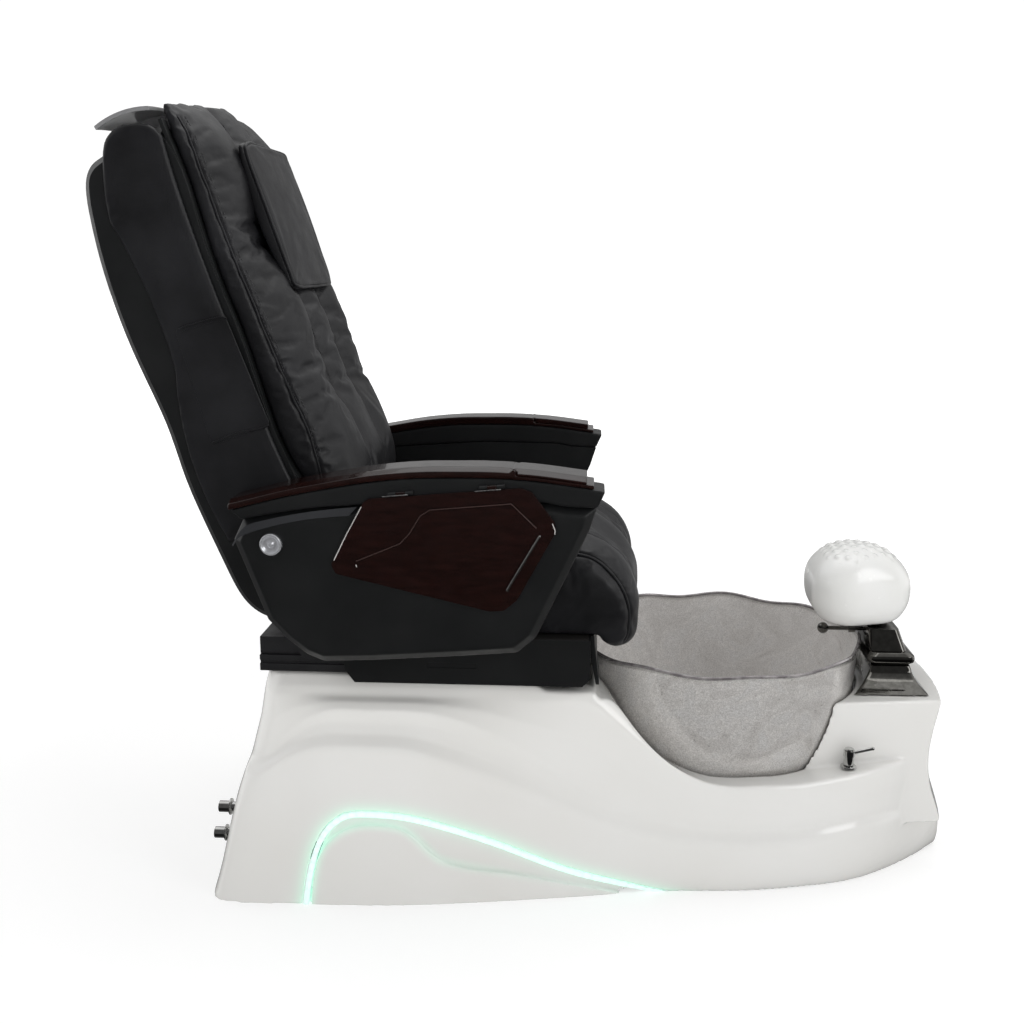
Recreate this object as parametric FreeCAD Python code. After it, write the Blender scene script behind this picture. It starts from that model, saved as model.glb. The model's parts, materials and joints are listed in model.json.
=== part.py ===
import FreeCAD, Part
import math
import os

# Pedicure spa chair. X runs to the sitter's front, Z is up, the chair is symmetric about y = 0
# and stands on z = 0. The sitter's right side is at negative y. All sizes are millimetres.
# Every shape is written for the right side where it has two sides, and mirrored for the left.

V = FreeCAD.Vector
ORIGIN = V(0, 0, 0)
Y_AXIS = V(0, 1, 0)
Z_AXIS = V(0, 0, 1)

# General clearances
SEAT_GAP = 0.3            # between pieces that lie on each other
RUNNING_GAP = 0.05        # radial play of a pin in its bore
MOVING_GAP = 3.0          # between pieces that pass each other

# Base hull: lines seen from above and from the side, as (x, half width) or (x, half width, height)
WALL = 6.0
FLOOR_LINE = [(-560, 381), (-435, 380), (-295, 377), (-192, 366), (67, 322), (213, 292), (358, 281),
              (470, 259), (568, 228), (679, 150), (767, 62), (800, 20)]
RIDGE_LINE = [(-500, 336, 225), (-440, 346, 278), (-360, 351, 290), (-250, 351, 287),
              (-147, 348, 257), (-37, 342, 216), (29, 338, 187), (120, 330, 151), (211, 322, 126),
              (302, 316, 112), (393, 308, 108), (482, 292, 114), (580, 258, 124), (643, 213, 119),
              (708, 152, 106), (800, 70, 90)]
CREASE_LINE = [(-490, 318, 262), (-436, 325, 329), (-360, 328, 349), (-230, 328, 350),
               (-145, 328, 333), (-58, 328, 294), (29, 326, 243), (120, 322, 185), (211, 315, 156),
               (302, 308, 140), (393, 299, 137), (484, 282, 139), (575, 250, 141), (643, 205, 139),
               (708, 152, 127), (800, 70, 115)]
EDGE_LINE = [(-500, 300, 372), (-200, 301, 372), (80, 302, 370), (180, 303, 292), (290, 302, 228),
             (350, 298, 214), (415, 290, 209), (484, 272, 211), (580, 238, 218), (650, 196, 223),
             (700, 156, 227), (800, 80, 230)]
REAR_LINE = [(-40, -606), (0, -601), (60, -585), (165, -562), (270, -530), (310, -519), (430, -505)]
REAR_CORNER = 42.0        # plan radius of the rear corners
RING_TOP = 430.0          # height of the uppermost ring, above the deck
TOP_DRAW = 36.0           # how far the uppermost ring lies inside the edge line
HULL_FRONT = 800.0
RIDGE_RING = 4            # number of the ring that carries the ridge, counted from the floor
HULL_BANDS = [(0, 3, False), (3, 12, True)]
CAVITY_DROP = 10.0
CAVITY_RINGS = (0, 2, 4, 5, 7, 9, 12)
CAVITY_BANDS = [(0, 6, True)]
LOW_BANDS = [(0, 3, False), (3, 4, True)]
FRONT_LINE = [(-40, 768), (0, 768), (70, 764), (108, 757), (163, 739), (215, 731), (266, 735),
              (322, 746), (345, 749), (440, 752)]

# Base top: height of the top surface along x, at the reference half width and on the centre plane
DECK_HEIGHT = 398.0
DECK_STEP = 380.0         # lower front end of the deck, which the front skirt passes over
DECK_STEP_X = (-30.0, 0.0)
DECK_FRONT = 88.0
TOP_REFERENCE = 300.0     # half width at which the outer heights below are taken
TOP_LINE = [(97, 368, 350), (130, 340, 240), (170, 303, 190), (225, 262, 180), (282, 229, 192),
            (347, 214, 214), (415, 209, 209), (484, 211, 211), (580, 218, 218), (700, 227, 227),
            (840, 232, 232)]

# Pedestal at the front of the base
PEDESTAL_TOP = 330.0
PEDESTAL_REAR = 480.0
PEDESTAL_HALF_REAR = 192.0
PEDESTAL_HALF_FRONT = 149.0
PEDESTAL_FLARE = 14.0     # how much wider it is at the bottom of its visible side
PEDESTAL_BOTTOM = 100.0

# Foot bowl and the recess that holds it
BOWL_X = 328.0
BOWL_PROFILE = [(104, 152), (112, 176), (132, 204), (172, 238), (225, 254), (290, 266), (360, 272),
                (405, 277)]
BOWL_FLOOR = 104.0
BOWL_RIM = 405.0
BOWL_WALL = 5.0
BOWL_WAVES = 9
BOWL_WAVE_OUT = 4.0
BOWL_WAVE_UP = 4.0
BOWL_GAP = 3.0
RECESS_WALL = 5.0
DRAIN_X = BOWL_X + 70.0
DRAIN_RADIUS = 19.0
DRAIN_FLANGE = 34.0
DRAIN_PIPE_Z = 52.0
JET_X = BOWL_X - 60.0
JET_RADIUS = 34.0
JET_SHAFT = 10.0
JET_HEIGHT = 16.0
PUMP_RADIUS = 46.0

# Lit arch on each side of the base, as (x, z) along its outer edge
ARCH_LINE = [(-432, -30), (-427, 6), (-413, 84), (-396, 127), (-373, 156), (-346, 171), (-311, 174),
             (-249, 170), (-170, 150), (-74, 116), (31, 70), (138, 32), (212, 5), (290, -24)]
BULGE_LINE = [(-414, -30), (-412, 20), (-397, 92), (-369, 127), (-334, 145), (-299, 149),
              (-253, 143), (-226, 126), (-197, 97), (-171, 80), (-74, 58), (30, 34), (110, 12),
              (180, -24)]
STRIP_WIDTH = 10.0
STRIP_DEPTH = 12.0
PANEL_RECESS = 9.0
STRIP_SINK = 1.0
PANEL_WALL = 4.0

# Slide tracks on the deck and the seat frame that runs on them
TRACK_Y = 243.0
TRACK_WIDTH = 44.0
TRACK_HEIGHT = 30.0
TRACK_REAR = -519.0
TRACK_FRONT = -34.0
RUNNER_HEIGHT = 32.0
FRAME_TUBE = 30.0
FRAME_FRONT = 60.0
BOARD_THICKNESS = 14.0

# Seat pan, cushion and front skirt
PAN_HALF = 290.0
PAN_WALL = 3.0
PAN_REAR = -359.0
PAN_FRONT = 80.0
PAN_BOTTOM = 389.0
PAN_CHAMFER = 24.0
SKIRT_THICKNESS = 6.0
SKIRT_BOTTOM = 384.0
SEAT_HALF = 262.0
SEAT_REAR = -402.0
SEAT_FRONT = 152.0
SEAT_TOP = 626.0
SEAT_CROWN = 18.0
SEAT_ROLL_BOTTOM = 452.0

# Recline hinge, back frame and shell
HINGE_X = -440.0
HINGE_Z = 486.0
HINGE_PIN = 8.0
RECLINE_MAX = 25.0
SHELL_HALF = 272.0
SHELL_BEVEL = 20.0
SHELL_WALL = 4.0
FLANGE_IN = 238.0         # inner edge of the rim that the cushion lies on
FLANGE_OUT = SHELL_HALF - SHELL_WALL / 2
FLANGE_LIP = 2.0          # how far the rim stands round the cushion's rear edge
REAR_OUTLINE = [(-506, 498), (-532, 514), (-574, 583), (-618, 687), (-642, 751), (-667, 836),
                (-699, 916), (-729, 990), (-754, 1067), (-771, 1135), (-782, 1198), (-786, 1240),
                (-782, 1270), (-768, 1290), (-750, 1302), (-742, 1322)]
SIDE_DEPTH = 12.0         # how far the side pads stand out from the casing
SIDE_OUT = SHELL_HALF + SIDE_DEPTH
SIDE_ROUND = 11.0
CAP_OUTLINE = [(-757, 1346), (-722, 1366), (-697, 1374), (-662, 1378)]
CAP_THICKNESS = 7.0
CAP_CROWN = 8.0
CAP_RIB_Y = 150.0

# Back cushion: stations along its rear face as (x, z, lean, half width, edge, bolster, centre)
CUSHION_STATIONS = [
    (-401, 664, 24, 236, 44, 70, 58),
    (-440, 762, 23, 252, 56, 88, 74),
    (-488, 880, 20, 257, 52, 87, 74),
    (-524, 1000, 19, 258, 42, 83, 70),
    (-550, 1070, 18, 258, 38, 76, 62),
    (-588, 1190, 15, 257, 32, 58, 50),
    (-622, 1300, 16, 254, 28, 62, 54),
    (-644, 1358, 22, 250, 22, 38, 40),
    (-654, 1382, 34, 240, 14, 26, 34),
]
PILLOW_HALF = 158.0
POCKET_OUTLINE = [(-634, 1014), (-546, 1038), (-475, 849), (-580, 814)]
POCKET_THICKNESS = 3.4

# Massage drive inside the back
RAIL_LOW = (-505.0, 668.0)
RAIL_HIGH = (-690.0, 1290.0)
RAIL_Y = 150.0
RAIL_RADIUS = 9.0
CARRIAGE_REST = 230.0     # distance of the massage carriage's centre up the rails
CARRIAGE_LENGTH = 110.0
ROLLER_RADIUS = 34.0

# Arms
ARM_CLEARANCE = 7.0       # between the side pads and the arms
ARM_WIDTH = 79.0
ARM_IN = SIDE_OUT + ARM_CLEARANCE
ARM_OUT = ARM_IN + ARM_WIDTH
ARM_WALL = 4.0
ARM_BEVEL = 15.0
PIVOT_X = -459.0
PIVOT_Z = 661.0
PIVOT_PIN = 9.0
PIVOT_CAP = 21.0
PIVOT_CAP_HEIGHT = 10.0   # how far the pivot cap stands out of the arm
ARM_OUTLINE = [(-528, 664), (-475, 523), (-442, 488), (-409, 462), (-380, 450), (-298, 453),
               (-153, 463), (-45, 472), (-13, 500), (35, 601), (76, 690)]
BEAM_TOP = [(-528, 717), (-432, 742), (-360, 756), (-290, 768), (-197, 776), (-104, 777),
            (-35, 774), (61, 763), (101, 757)]
BEAM_BOTTOM = [(88, 728), (34, 730), (2, 736), (-150, 739), (-305, 729), (-386, 723),
               (-457, 712), (-510, 701)]
CAP_RISE = 17.0
CAP_REAR = -532.0
LID_REAR = -54.0
LID_FRONT = 70.0
LID_THICKNESS = 10.0
CUP_RADIUS = 34.0
CUP_DEPTH = 27.0
CAP_SLOPE = (14.0, 7.0)    # width and drop of the sloped outer edge of the armrest top
TRAY_OUTLINE = [(-302, 733), (-292, 741), (-39, 762), (-20, 756), (17, 706), (20, 690), (-44, 572),
                (-66, 553), (-91, 551), (-350, 612), (-358, 628)]
TRAY_THICKNESS = 6.0
TRAY_HINGE = ((-290.0, 746.6), (-41.0, 767.2))
HINGE_BARREL = 3.0
HINGE_WIRE = 1.2

# Footrest, its post and the spout housing
POST_X = 650.0
COLLAR_BOTTOM = 372.0
COLLAR_TOP = 396.0
NECK_TOP = 436.0
FOOTREST_X = 600.0
FOOTREST_BOTTOM = 442.0
FOOTREST_PIN_X = 630.0
FOOTREST_PIN_Z = 452.0
FOOTREST_PIN = 5.0
VALVE = V(555, -213, 217.7)
VALVE_STEM = 7.0

# Rear fittings of the base
HULL_REAR = -700.0
DRAIN_Y = 75.0
DRAIN_WALL = 3.0
DRAIN_OUTLET_X = -625.0
DRAIN_SPIGOT = 22.0       # length of the hose end outside the base
DRAIN_STEP = 1.5          # how much thinner the pipe is inside the base
PUMP_BOTTOM = 34.0
BOWL_WAVE_START = 290.0
INLET_RADIUS = 10.48
INLET_REACH = 20.0
INLET_STEP = 1.48         # how much thinner the threaded neck in the wall is
INLET_FLANGE = 15.0
INLET_FLANGE_X = (8.5, 11.5)   # the flange's two faces, outside the wall
INLET_BOSS = (3.0, 18.0)  # the boss behind the wall, from its rear face to its front face
INLET_BOSS_RADIUS = 14.0
INLET_WALL_BULGE = 3.0    # how far the wall stands behind the rear line beside the corner
INLET_WALL_LEAN = 14.0
INLET_NUT_X = 19.0
INLET_Y = -290.0
INLET_HEIGHTS = (90.0, 142.0)
POWER_Y = 150.0
POWER_Z = 120.0
POWER_WIDTH = 48.0
POWER_HEIGHT = 32.0

# Base frame and feet
FRAME_Y = 225.0
FRAME_BAR = 26.0
FRAME_REAR = -535.0
FRAME_NOSE = 470.0
UPRIGHT_X = (-485.0, -80.0)
FOOT_HEIGHT = 6.0

# Spout, footrest post and knob
HOUSING_FOOT = (566.0, 716.0, 150.0, 146.0, 46.0)
HOUSING_HEAD = (616.0, 690.0, 84.0, 84.0, 6.0)
POST_HALF = 24.0
POST_DEPTH = 90.0
NECK_TAPER = 14.0
EAR_Y = (16.0, 24.0)
EAR_HALF = 10.0
KNOB_Z = 418.0
KNOB_STEM = 4.0
KNOB_DEPTH = 20.0
KNOB_REACH = 76.0
KNOB_BALL = 11.0
PAD_LENGTH = 191.0
PAD_WIDE = 122.0
PAD_NARROW = 62.0
PAD_CORNER = 62.0
PAD_RINGS = [(FOOTREST_BOTTOM, 0.62), (452, 0.82), (470, 0.93), (510, 1.0), (545, 0.985), (562, 0.93),
             (578, 0.80), (589, 0.58), (595, 0.3)]

# Seat slide, recline drive and brackets
SLIDE_MOTOR_X = -515.0
SCREW_Y = 110.0
SCREW_Z = 413.0
SCREW_RADIUS = 6.0
SCREW_FRONT = -60.0
CROSS_X = (-519.0, -392.0, -125.0, 30.0)
ROD_RADIUS = 8.0
EYE_HALF = 5.0
EYE_RADIUS = 12.0
MOTOR_LENGTH = 150.0
MOTOR_NOSE = 40.0
LEVER_LENGTH = 52.0
LEVER_PIN = 4.0
OPEN_PIVOT_GAP = 2.5
CLEVIS_Y = (6.5, 11.5)
HINGE_EAR_Y = (-258.0, -250.0)
LUG_Y = (236.0, 246.0)
FRAME_SIDE_Y = 214.0
FRAME_SIDE_WIDTH = 25.0
SHELL_BRACKETS = (40.0, 330.0, 600.0)    # places up the back frame where the casing is bolted to it
BRACKET_LEG_X = (-430.0, -398.0)
BRACKET_Y = (SIDE_OUT + 1.5, ARM_IN - 1.5)
BRACKET_OUTLINE = [(-436, 432), (-392, 432), (-392, 470), (-430, 640), (-436, 684), (-482, 684),
                   (-482, 640), (-460, 540)]
SKIRT_LEAN = 10.0
CASE_TOP = [(-724, 1340), (-690, 1350), (-664, 1347)]
CASE_NOSE = [(-466, 600), (-486, 508)]
SIDE_PAD = [(-560, 640), (-616, 770), (-640, 940), (-672, 1048), (-738, 1190), (-745, 1250),
            (-742, 1308), (-728, 1336), (-694, 1349), (-662, 1348), (-640, 1330), (-588, 1150),
            (-517, 953), (-470, 812), (-404, 672)]
PILLOW_TOP = (-551.4, 0.0, 1332.0)
PILLOW_BOTTOM = (-463.4, 0.0, 1074.0)
PILLOW_BOW = 14.0         # how far its rear face bows towards the back
LUG_SHAFT_Y = 72.0
SHAFT_FORWARD = 26.0
SHAFT_RADIUS = 7.0
BUSH_RADIUS = 14.0
CUP_X = 14.0
CAP_OVERHANG = 1.0
LID_PIN = 1.5
TRAY_AXIS_Y = ARM_OUT + 7.0
TRAY_GAP = 0.4
PULL_BAR = [(-7, 685), (-60, 591)]

os.makedirs("parts", exist_ok=True)


def smooth(points, x, column=1):
    """Value at x on a curve through the points that never swings past them."""
    last = len(points) - 1
    if x <= points[0][0]:
        return points[0][column]
    if x >= points[last][0]:
        return points[last][column]
    step = [points[i + 1][0] - points[i][0] for i in range(last)]
    rise = [(points[i + 1][column] - points[i][column]) / step[i] for i in range(last)]
    tilt = [rise[0]]
    for i in range(1, last):
        same_way = rise[i - 1] * rise[i] > 0
        tilt.append(2 * rise[i - 1] * rise[i] / (rise[i - 1] + rise[i]) if same_way else 0.0)
    tilt.append(rise[-1])
    i = max(k for k in range(last) if points[k][0] <= x)
    t = (x - points[i][0]) / step[i]
    start = points[i][column] + (3 * t ** 2 - 2 * t ** 3) * rise[i] * step[i]
    return start + step[i] * (tilt[i] * (t - 2 * t ** 2 + t ** 3) + tilt[i + 1] * (t ** 3 - t ** 2))


def box(x, y, z):
    """Block between the two ends given for each axis."""
    return Part.makeBox(x[1] - x[0], y[1] - y[0], z[1] - z[0], V(x[0], y[0], z[0]))


def rod(start, end, radius):
    """Round bar between two points."""
    return Part.makeCylinder(radius, (end - start).Length, start, end - start)


def tube(start, end, outer, inner):
    """Round tube between two points."""
    return rod(start, end, outer).cut(rod(start, end, inner))


def both_sides(shape):
    """The shape and its mirror image, as one group."""
    return Part.makeCompound([shape, mirrored(shape)])


def mirrored(shape):
    return shape.mirror(ORIGIN, Y_AXIS)


def fused(first, *others):
    """One solid out of pieces that touch or overlap."""
    return first.multiFuse(list(others)).removeSplitter()


def spline(points):
    """Curve through the points, as one edge."""
    curve = Part.BSplineCurve()
    curve.interpolate(points)
    return curve.toShape()


def closed_wire(*parts):
    """Closed wire from edges, with straight lines across the gaps between them."""
    edges = []
    for i, part in enumerate(parts):
        edges.append(part)
        end = part.Vertexes[-1].Point
        start = parts[(i + 1) % len(parts)].Vertexes[0].Point
        if (end - start).Length > 1e-6:
            edges.append(Part.makeLine(end, start))
    return Part.Wire(edges)


def polygon(points):
    return Part.makePolygon([*points, points[0]])


def rounded(points, radius):
    """Closed wire of straight sides with round corners of one radius."""
    sides = []
    count = len(points)
    for i, corner in enumerate(points):
        before = (points[i - 1] - corner)
        after = (points[(i + 1) % count] - corner)
        half_angle = before.getAngle(after) / 2
        reach = min(radius / math.tan(half_angle), 0.45 * before.Length, 0.45 * after.Length)
        bisector = (before.normalize() + after.normalize()).normalize()
        to_arc = reach / math.cos(half_angle) - reach * math.tan(half_angle)
        sides.append((corner + before * reach, corner + bisector * to_arc, corner + after * reach))
    edges = []
    for i, (start, middle, end) in enumerate(sides):
        edges.append(Part.Arc(start, middle, end).toShape())
        following = sides[(i + 1) % count][0]
        if (following - end).Length > 1e-6:
            edges.append(Part.makeLine(end, following))
    return Part.Wire(edges)


def side_points(outline, y=0.0):
    """Points of a side view, placed at y."""
    return [V(x, y, z) for x, z in outline]


def plate(wire, y):
    """Side view outline, drawn at y = 0, as a plate between two values of y."""
    face = Part.Face(wire)
    face.translate(V(0, y[0], 0))
    return face.extrude(V(0, y[1] - y[0], 0))


def turned(profile, x=0.0, y=0.0):
    """Solid of revolution about a vertical axis from (radius, height) points."""
    solid = Part.Face(polygon([V(r, 0, z) for r, z in profile])).revolve(ORIGIN, Z_AXIS, 360)
    solid.translate(V(x, y, 0))
    return solid


def shifted_line(outline, distance):
    """Side view line moved sideways, to the right of its own direction."""
    moved = []
    for i in range(len(outline)):
        a = outline[max(i - 1, 0)]
        b = outline[min(i + 1, len(outline) - 1)]
        length = math.hypot(b[0] - a[0], b[1] - a[1])
        moved.append((outline[i][0] + distance * (b[1] - a[1]) / length,
                      outline[i][1] - distance * (b[0] - a[0]) / length))
    return moved


# Base hull

def hull_levels():
    """Rings of the hull from the floor up, each a rule from x to (half width, height)."""
    def floor(x):
        return smooth(FLOOR_LINE, x)

    def ridge(x):
        return smooth(RIDGE_LINE, x), smooth(RIDGE_LINE, x, 2)

    def crease(x):
        return smooth(CREASE_LINE, x), smooth(CREASE_LINE, x, 2)

    def edge(x):
        return smooth(EDGE_LINE, x), smooth(EDGE_LINE, x, 2)

    def between(low, high, share, out=0.0):
        return low + (high - low) * share + out

    return [
        lambda x: (floor(x), 0.0),
        lambda x: (between(floor(x), ridge(x)[0], 0.4, 5), between(0, ridge(x)[1], 0.25)),
        lambda x: (between(floor(x), ridge(x)[0], 0.75, 5), between(0, ridge(x)[1], 0.62)),
        lambda x: (ridge(x)[0] + 0.5, ridge(x)[1] - 9),
        lambda x: (ridge(x)[0] - 2.0, ridge(x)[1] + 1),
        lambda x: (between(ridge(x)[0], crease(x)[0], 0.75), between(ridge(x)[1], crease(x)[1], 0.3)),
        lambda x: (crease(x)[0] - 1.0, between(ridge(x)[1], crease(x)[1], 0.62)),
        lambda x: (crease(x)[0], crease(x)[1]),
        lambda x: (between(crease(x)[0], edge(x)[0], 0.5, 2), between(crease(x)[1], edge(x)[1], 0.55)),
        lambda x: (edge(x)[0], edge(x)[1] - 5),
        lambda x: (edge(x)[0] - 9, edge(x)[1] + 9),
        lambda x: (edge(x)[0] - 27, edge(x)[1] + 27),
        lambda x: (edge(x)[0] - TOP_DRAW, RING_TOP),
    ]


def hull_ring(level, inset, drop):
    """One closed ring round the hull, moved inwards by the inset."""
    rear_x = smooth(REAR_LINE, level(-500)[1]) + inset
    corner_y = level(-480)[0] - inset
    near = []
    near.append((rear_x, corner_y * 0.45))
    for angle in (90, 60, 30):
        turn = math.radians(angle)
        near.append((rear_x + REAR_CORNER * (1 - math.sin(turn)),
                     corner_y - REAR_CORNER * (1 - math.cos(turn))))
    for x in (-470, -400, -320, -240, -160, -80, 0, 80, 160, 240, 320, 400, 480, 560, 640, 700, 750):
        near.append((x, level(x)[0] - inset))
    points = [V(rear_x, 0, level(-500)[1])]
    points += [V(x, -y, level(x)[1]) for x, y in near]
    points.append(V(HULL_FRONT, 0, level(HULL_FRONT)[1]))
    points += [V(x, y, level(x)[1]) for x, y in reversed(near)]
    for point in points:
        point.z -= drop
    return points


def hull(inset, drop, levels, bands, sink=0.0):
    """Closed body of the hull's side surface through the levels, with its floor dropped and the rest sunk."""
    reference = hull_ring(hull_levels()[RIDGE_RING], 0, 0)
    marks = [0.0]
    for i in range(len(reference)):
        step = reference[(i + 1) % len(reference)] - reference[i]
        marks.append(marks[-1] + math.hypot(step.x, step.y))
    rings = []
    for i, level in enumerate(levels):
        curve = Part.BSplineCurve()
        curve.interpolate(Points=hull_ring(level, inset, drop if i == 0 else sink),
                          PeriodicFlag=True, Parameters=marks)
        rings.append(Part.Wire([curve.toShape()]))
    faces = [Part.Face(rings[0]), Part.Face(rings[-1])]
    for first, last, straight in bands:
        faces += Part.makeLoft(rings[first:last + 1], False, straight).Faces
    skin = Part.makeShell(faces)
    skin.sewShape(1e-4)
    return Part.makeSolid(skin)


def low_hull(inset, drop=0.0):
    """The hull below its ridge, carried straight up: enough for what lies in the side arches."""
    levels = hull_levels()[:RIDGE_RING]
    ridge = levels[-1]
    levels.append(lambda x: (ridge(x)[0], RING_TOP))
    return hull(inset, drop, levels, LOW_BANDS)


def under_top(drop):
    """Everything below the base's top surface, lowered by the drop."""
    reach = 420.0
    wires = []
    for y in (-reach, 0.0, reach):
        share = abs(y) / TOP_REFERENCE
        line = [V(x, y, centre + (outer - centre) * share - drop) for x, outer, centre in TOP_LINE]
        deck = [V(-660, y, -60), V(-660, y, DECK_HEIGHT - drop), V(DECK_STEP_X[0], y, DECK_HEIGHT - drop),
                V(DECK_STEP_X[1], y, DECK_STEP - drop), V(DECK_FRONT, y, DECK_STEP - drop)]
        edges = [Part.makeLine(a, b) for a, b in zip(deck, deck[1:])]
        slope = spline(line)
        edges += [Part.makeLine(deck[-1], line[0]), slope,
                  Part.makeLine(line[-1], V(line[-1].x, y, -60)),
                  Part.makeLine(V(line[-1].x, y, -60), deck[0])]
        wires.append(Part.Wire(edges))
    return Part.makeLoft(wires, True, True)


def behind_front(inset):
    """Everything behind the hollow front face, moved inwards by the inset."""
    line = spline([V(r - inset, 0, z) for z, r in FRONT_LINE])
    top = FRONT_LINE[-1][0]
    bottom = FRONT_LINE[0][0]
    wire = closed_wire(line, Part.makeLine(V(0, 0, top), V(0, 0, bottom)))
    return Part.Face(wire).revolve(ORIGIN, Z_AXIS, 360).fuse(box((-700, 0.1), (-420, 420), (bottom, top)))


def pedestal(inset):
    """Raised block at the front of the base."""
    def section(z, flare):
        rear = PEDESTAL_HALF_REAR + flare - inset
        front = PEDESTAL_HALF_FRONT + flare - inset
        return polygon([V(PEDESTAL_REAR, -rear, z), V(HULL_FRONT, -front, z),
                        V(HULL_FRONT, front, z), V(PEDESTAL_REAR, rear, z)])

    top = PEDESTAL_TOP - inset
    return Part.makeLoft([section(PEDESTAL_BOTTOM + inset, PEDESTAL_FLARE * 2), section(top, 0)], True, True)


def base_body(inset, form):
    """The base's outer form, or its cavity: a hull cut off below the top surface and the front."""
    body = form.common(under_top(inset))
    return body.fuse(pedestal(inset)).common(behind_front(inset))


def bowl_radius(z):
    return smooth(BOWL_PROFILE, z)


def bowl_heights():
    """Heights of the bowl's rings: its profile's own, and one halfway between each two."""
    heights = [z for z, _ in BOWL_PROFILE]
    between = [(low + high) / 2 for low, high in zip(heights, heights[1:])]
    return sorted(heights + between)


def recess(extra):
    """Space of the bowl's recess, widened by the extra."""
    heights = [BOWL_FLOOR - extra] + bowl_heights()[1:] + [RING_TOP + 20]
    profile = [(0, heights[0])]
    profile += [(bowl_radius(z) + BOWL_GAP + extra, z) for z in heights]
    profile += [(0, heights[-1])]
    return turned(profile, BOWL_X)


def arch(outline):
    """Prism of an arch on the right side, through the wall of the base."""
    line = spline(side_points(outline))
    floor_z = -60.0
    ends = Part.makeLine(V(outline[-1][0], 0, floor_z), V(outline[0][0], 0, floor_z))
    return plate(closed_wire(line, ends), (-430, -180))


def base_pieces():
    """Moulded base shell, the lit strips set in its sides and the panels inside the arches."""
    levels = hull_levels()
    outer = base_body(0.0, hull(0.0, 0.0, levels, HULL_BANDS))
    cavity = hull(WALL, CAVITY_DROP, [levels[i] for i in CAVITY_RINGS], CAVITY_BANDS, WALL)
    inner = base_body(WALL, cavity)
    shell = outer.cut(inner)
    shell = shell.fuse(recess(RECESS_WALL).common(outer)).cut(recess(0.0))
    side_opening = arch(ARCH_LINE)
    drain_hole = DRAIN_RADIUS + SEAT_GAP
    holes = [rod(V(DRAIN_X, DRAIN_Y, 0), V(DRAIN_X, DRAIN_Y, 300), drain_hole),
             rod(V(HULL_REAR, DRAIN_Y, DRAIN_PIPE_Z), V(-400, DRAIN_Y, DRAIN_PIPE_Z), drain_hole - DRAIN_STEP),
             rod(V(JET_X, 0, 0), V(JET_X, 0, 300), JET_SHAFT + SEAT_GAP),
             post_channel(SEAT_GAP + MOVING_GAP, (PEDESTAL_TOP - 50, PEDESTAL_TOP + 10)),
             rod(VALVE - V(0, 0, 60), VALVE + V(0, 0, 20), VALVE_STEM + SEAT_GAP),
             box((HULL_REAR, -400), spread(POWER_Y, POWER_WIDTH / 2 + SEAT_GAP),
                 spread(POWER_Z, POWER_HEIGHT / 2 + SEAT_GAP))]
    for z in INLET_HEIGHTS:
        holes.append(rod(V(HULL_REAR, INLET_Y, z), V(-400, INLET_Y, z), INLET_RADIUS - INLET_STEP + SEAT_GAP))
    shell = shell.cut(side_opening).cut(mirrored(side_opening))
    inward = V(math.cos(math.radians(INLET_WALL_LEAN)), 0, -math.sin(math.radians(INLET_WALL_LEAN)))
    for z in INLET_HEIGHTS:
        skin = V(smooth(REAR_LINE, z) - INLET_WALL_BULGE, INLET_Y, z)
        shell = shell.fuse(rod(skin + inward * INLET_BOSS[0], skin + inward * INLET_BOSS[1], INLET_BOSS_RADIUS))
    for hole in holes:
        shell = shell.cut(hole)

    above_floor = box((-900, 900), (-500, 500), (0, 900))
    ring = arch(shifted_line(ARCH_LINE, SEAT_GAP)).cut(arch(shifted_line(ARCH_LINE, STRIP_WIDTH)))
    ring = ring.common(above_floor)
    strip = ring.common(low_hull(STRIP_SINK)).cut(low_hull(STRIP_SINK + STRIP_DEPTH, CAVITY_DROP))

    face = arch(shifted_line(ARCH_LINE, STRIP_WIDTH + SEAT_GAP)).common(above_floor)
    panel_back = low_hull(PANEL_RECESS + PANEL_WALL, CAVITY_DROP)
    panel = face.common(low_hull(PANEL_RECESS)).cut(panel_back)
    bulge = arch(BULGE_LINE).common(face).common(low_hull(STRIP_SINK)).cut(panel_back)
    panel = panel.fuse(bulge)
    return {"base_shell": shell, "led_strip_right": strip, "led_strip_left": mirrored(strip),
            "access_panel_right": panel, "access_panel_left": mirrored(panel)}


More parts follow.
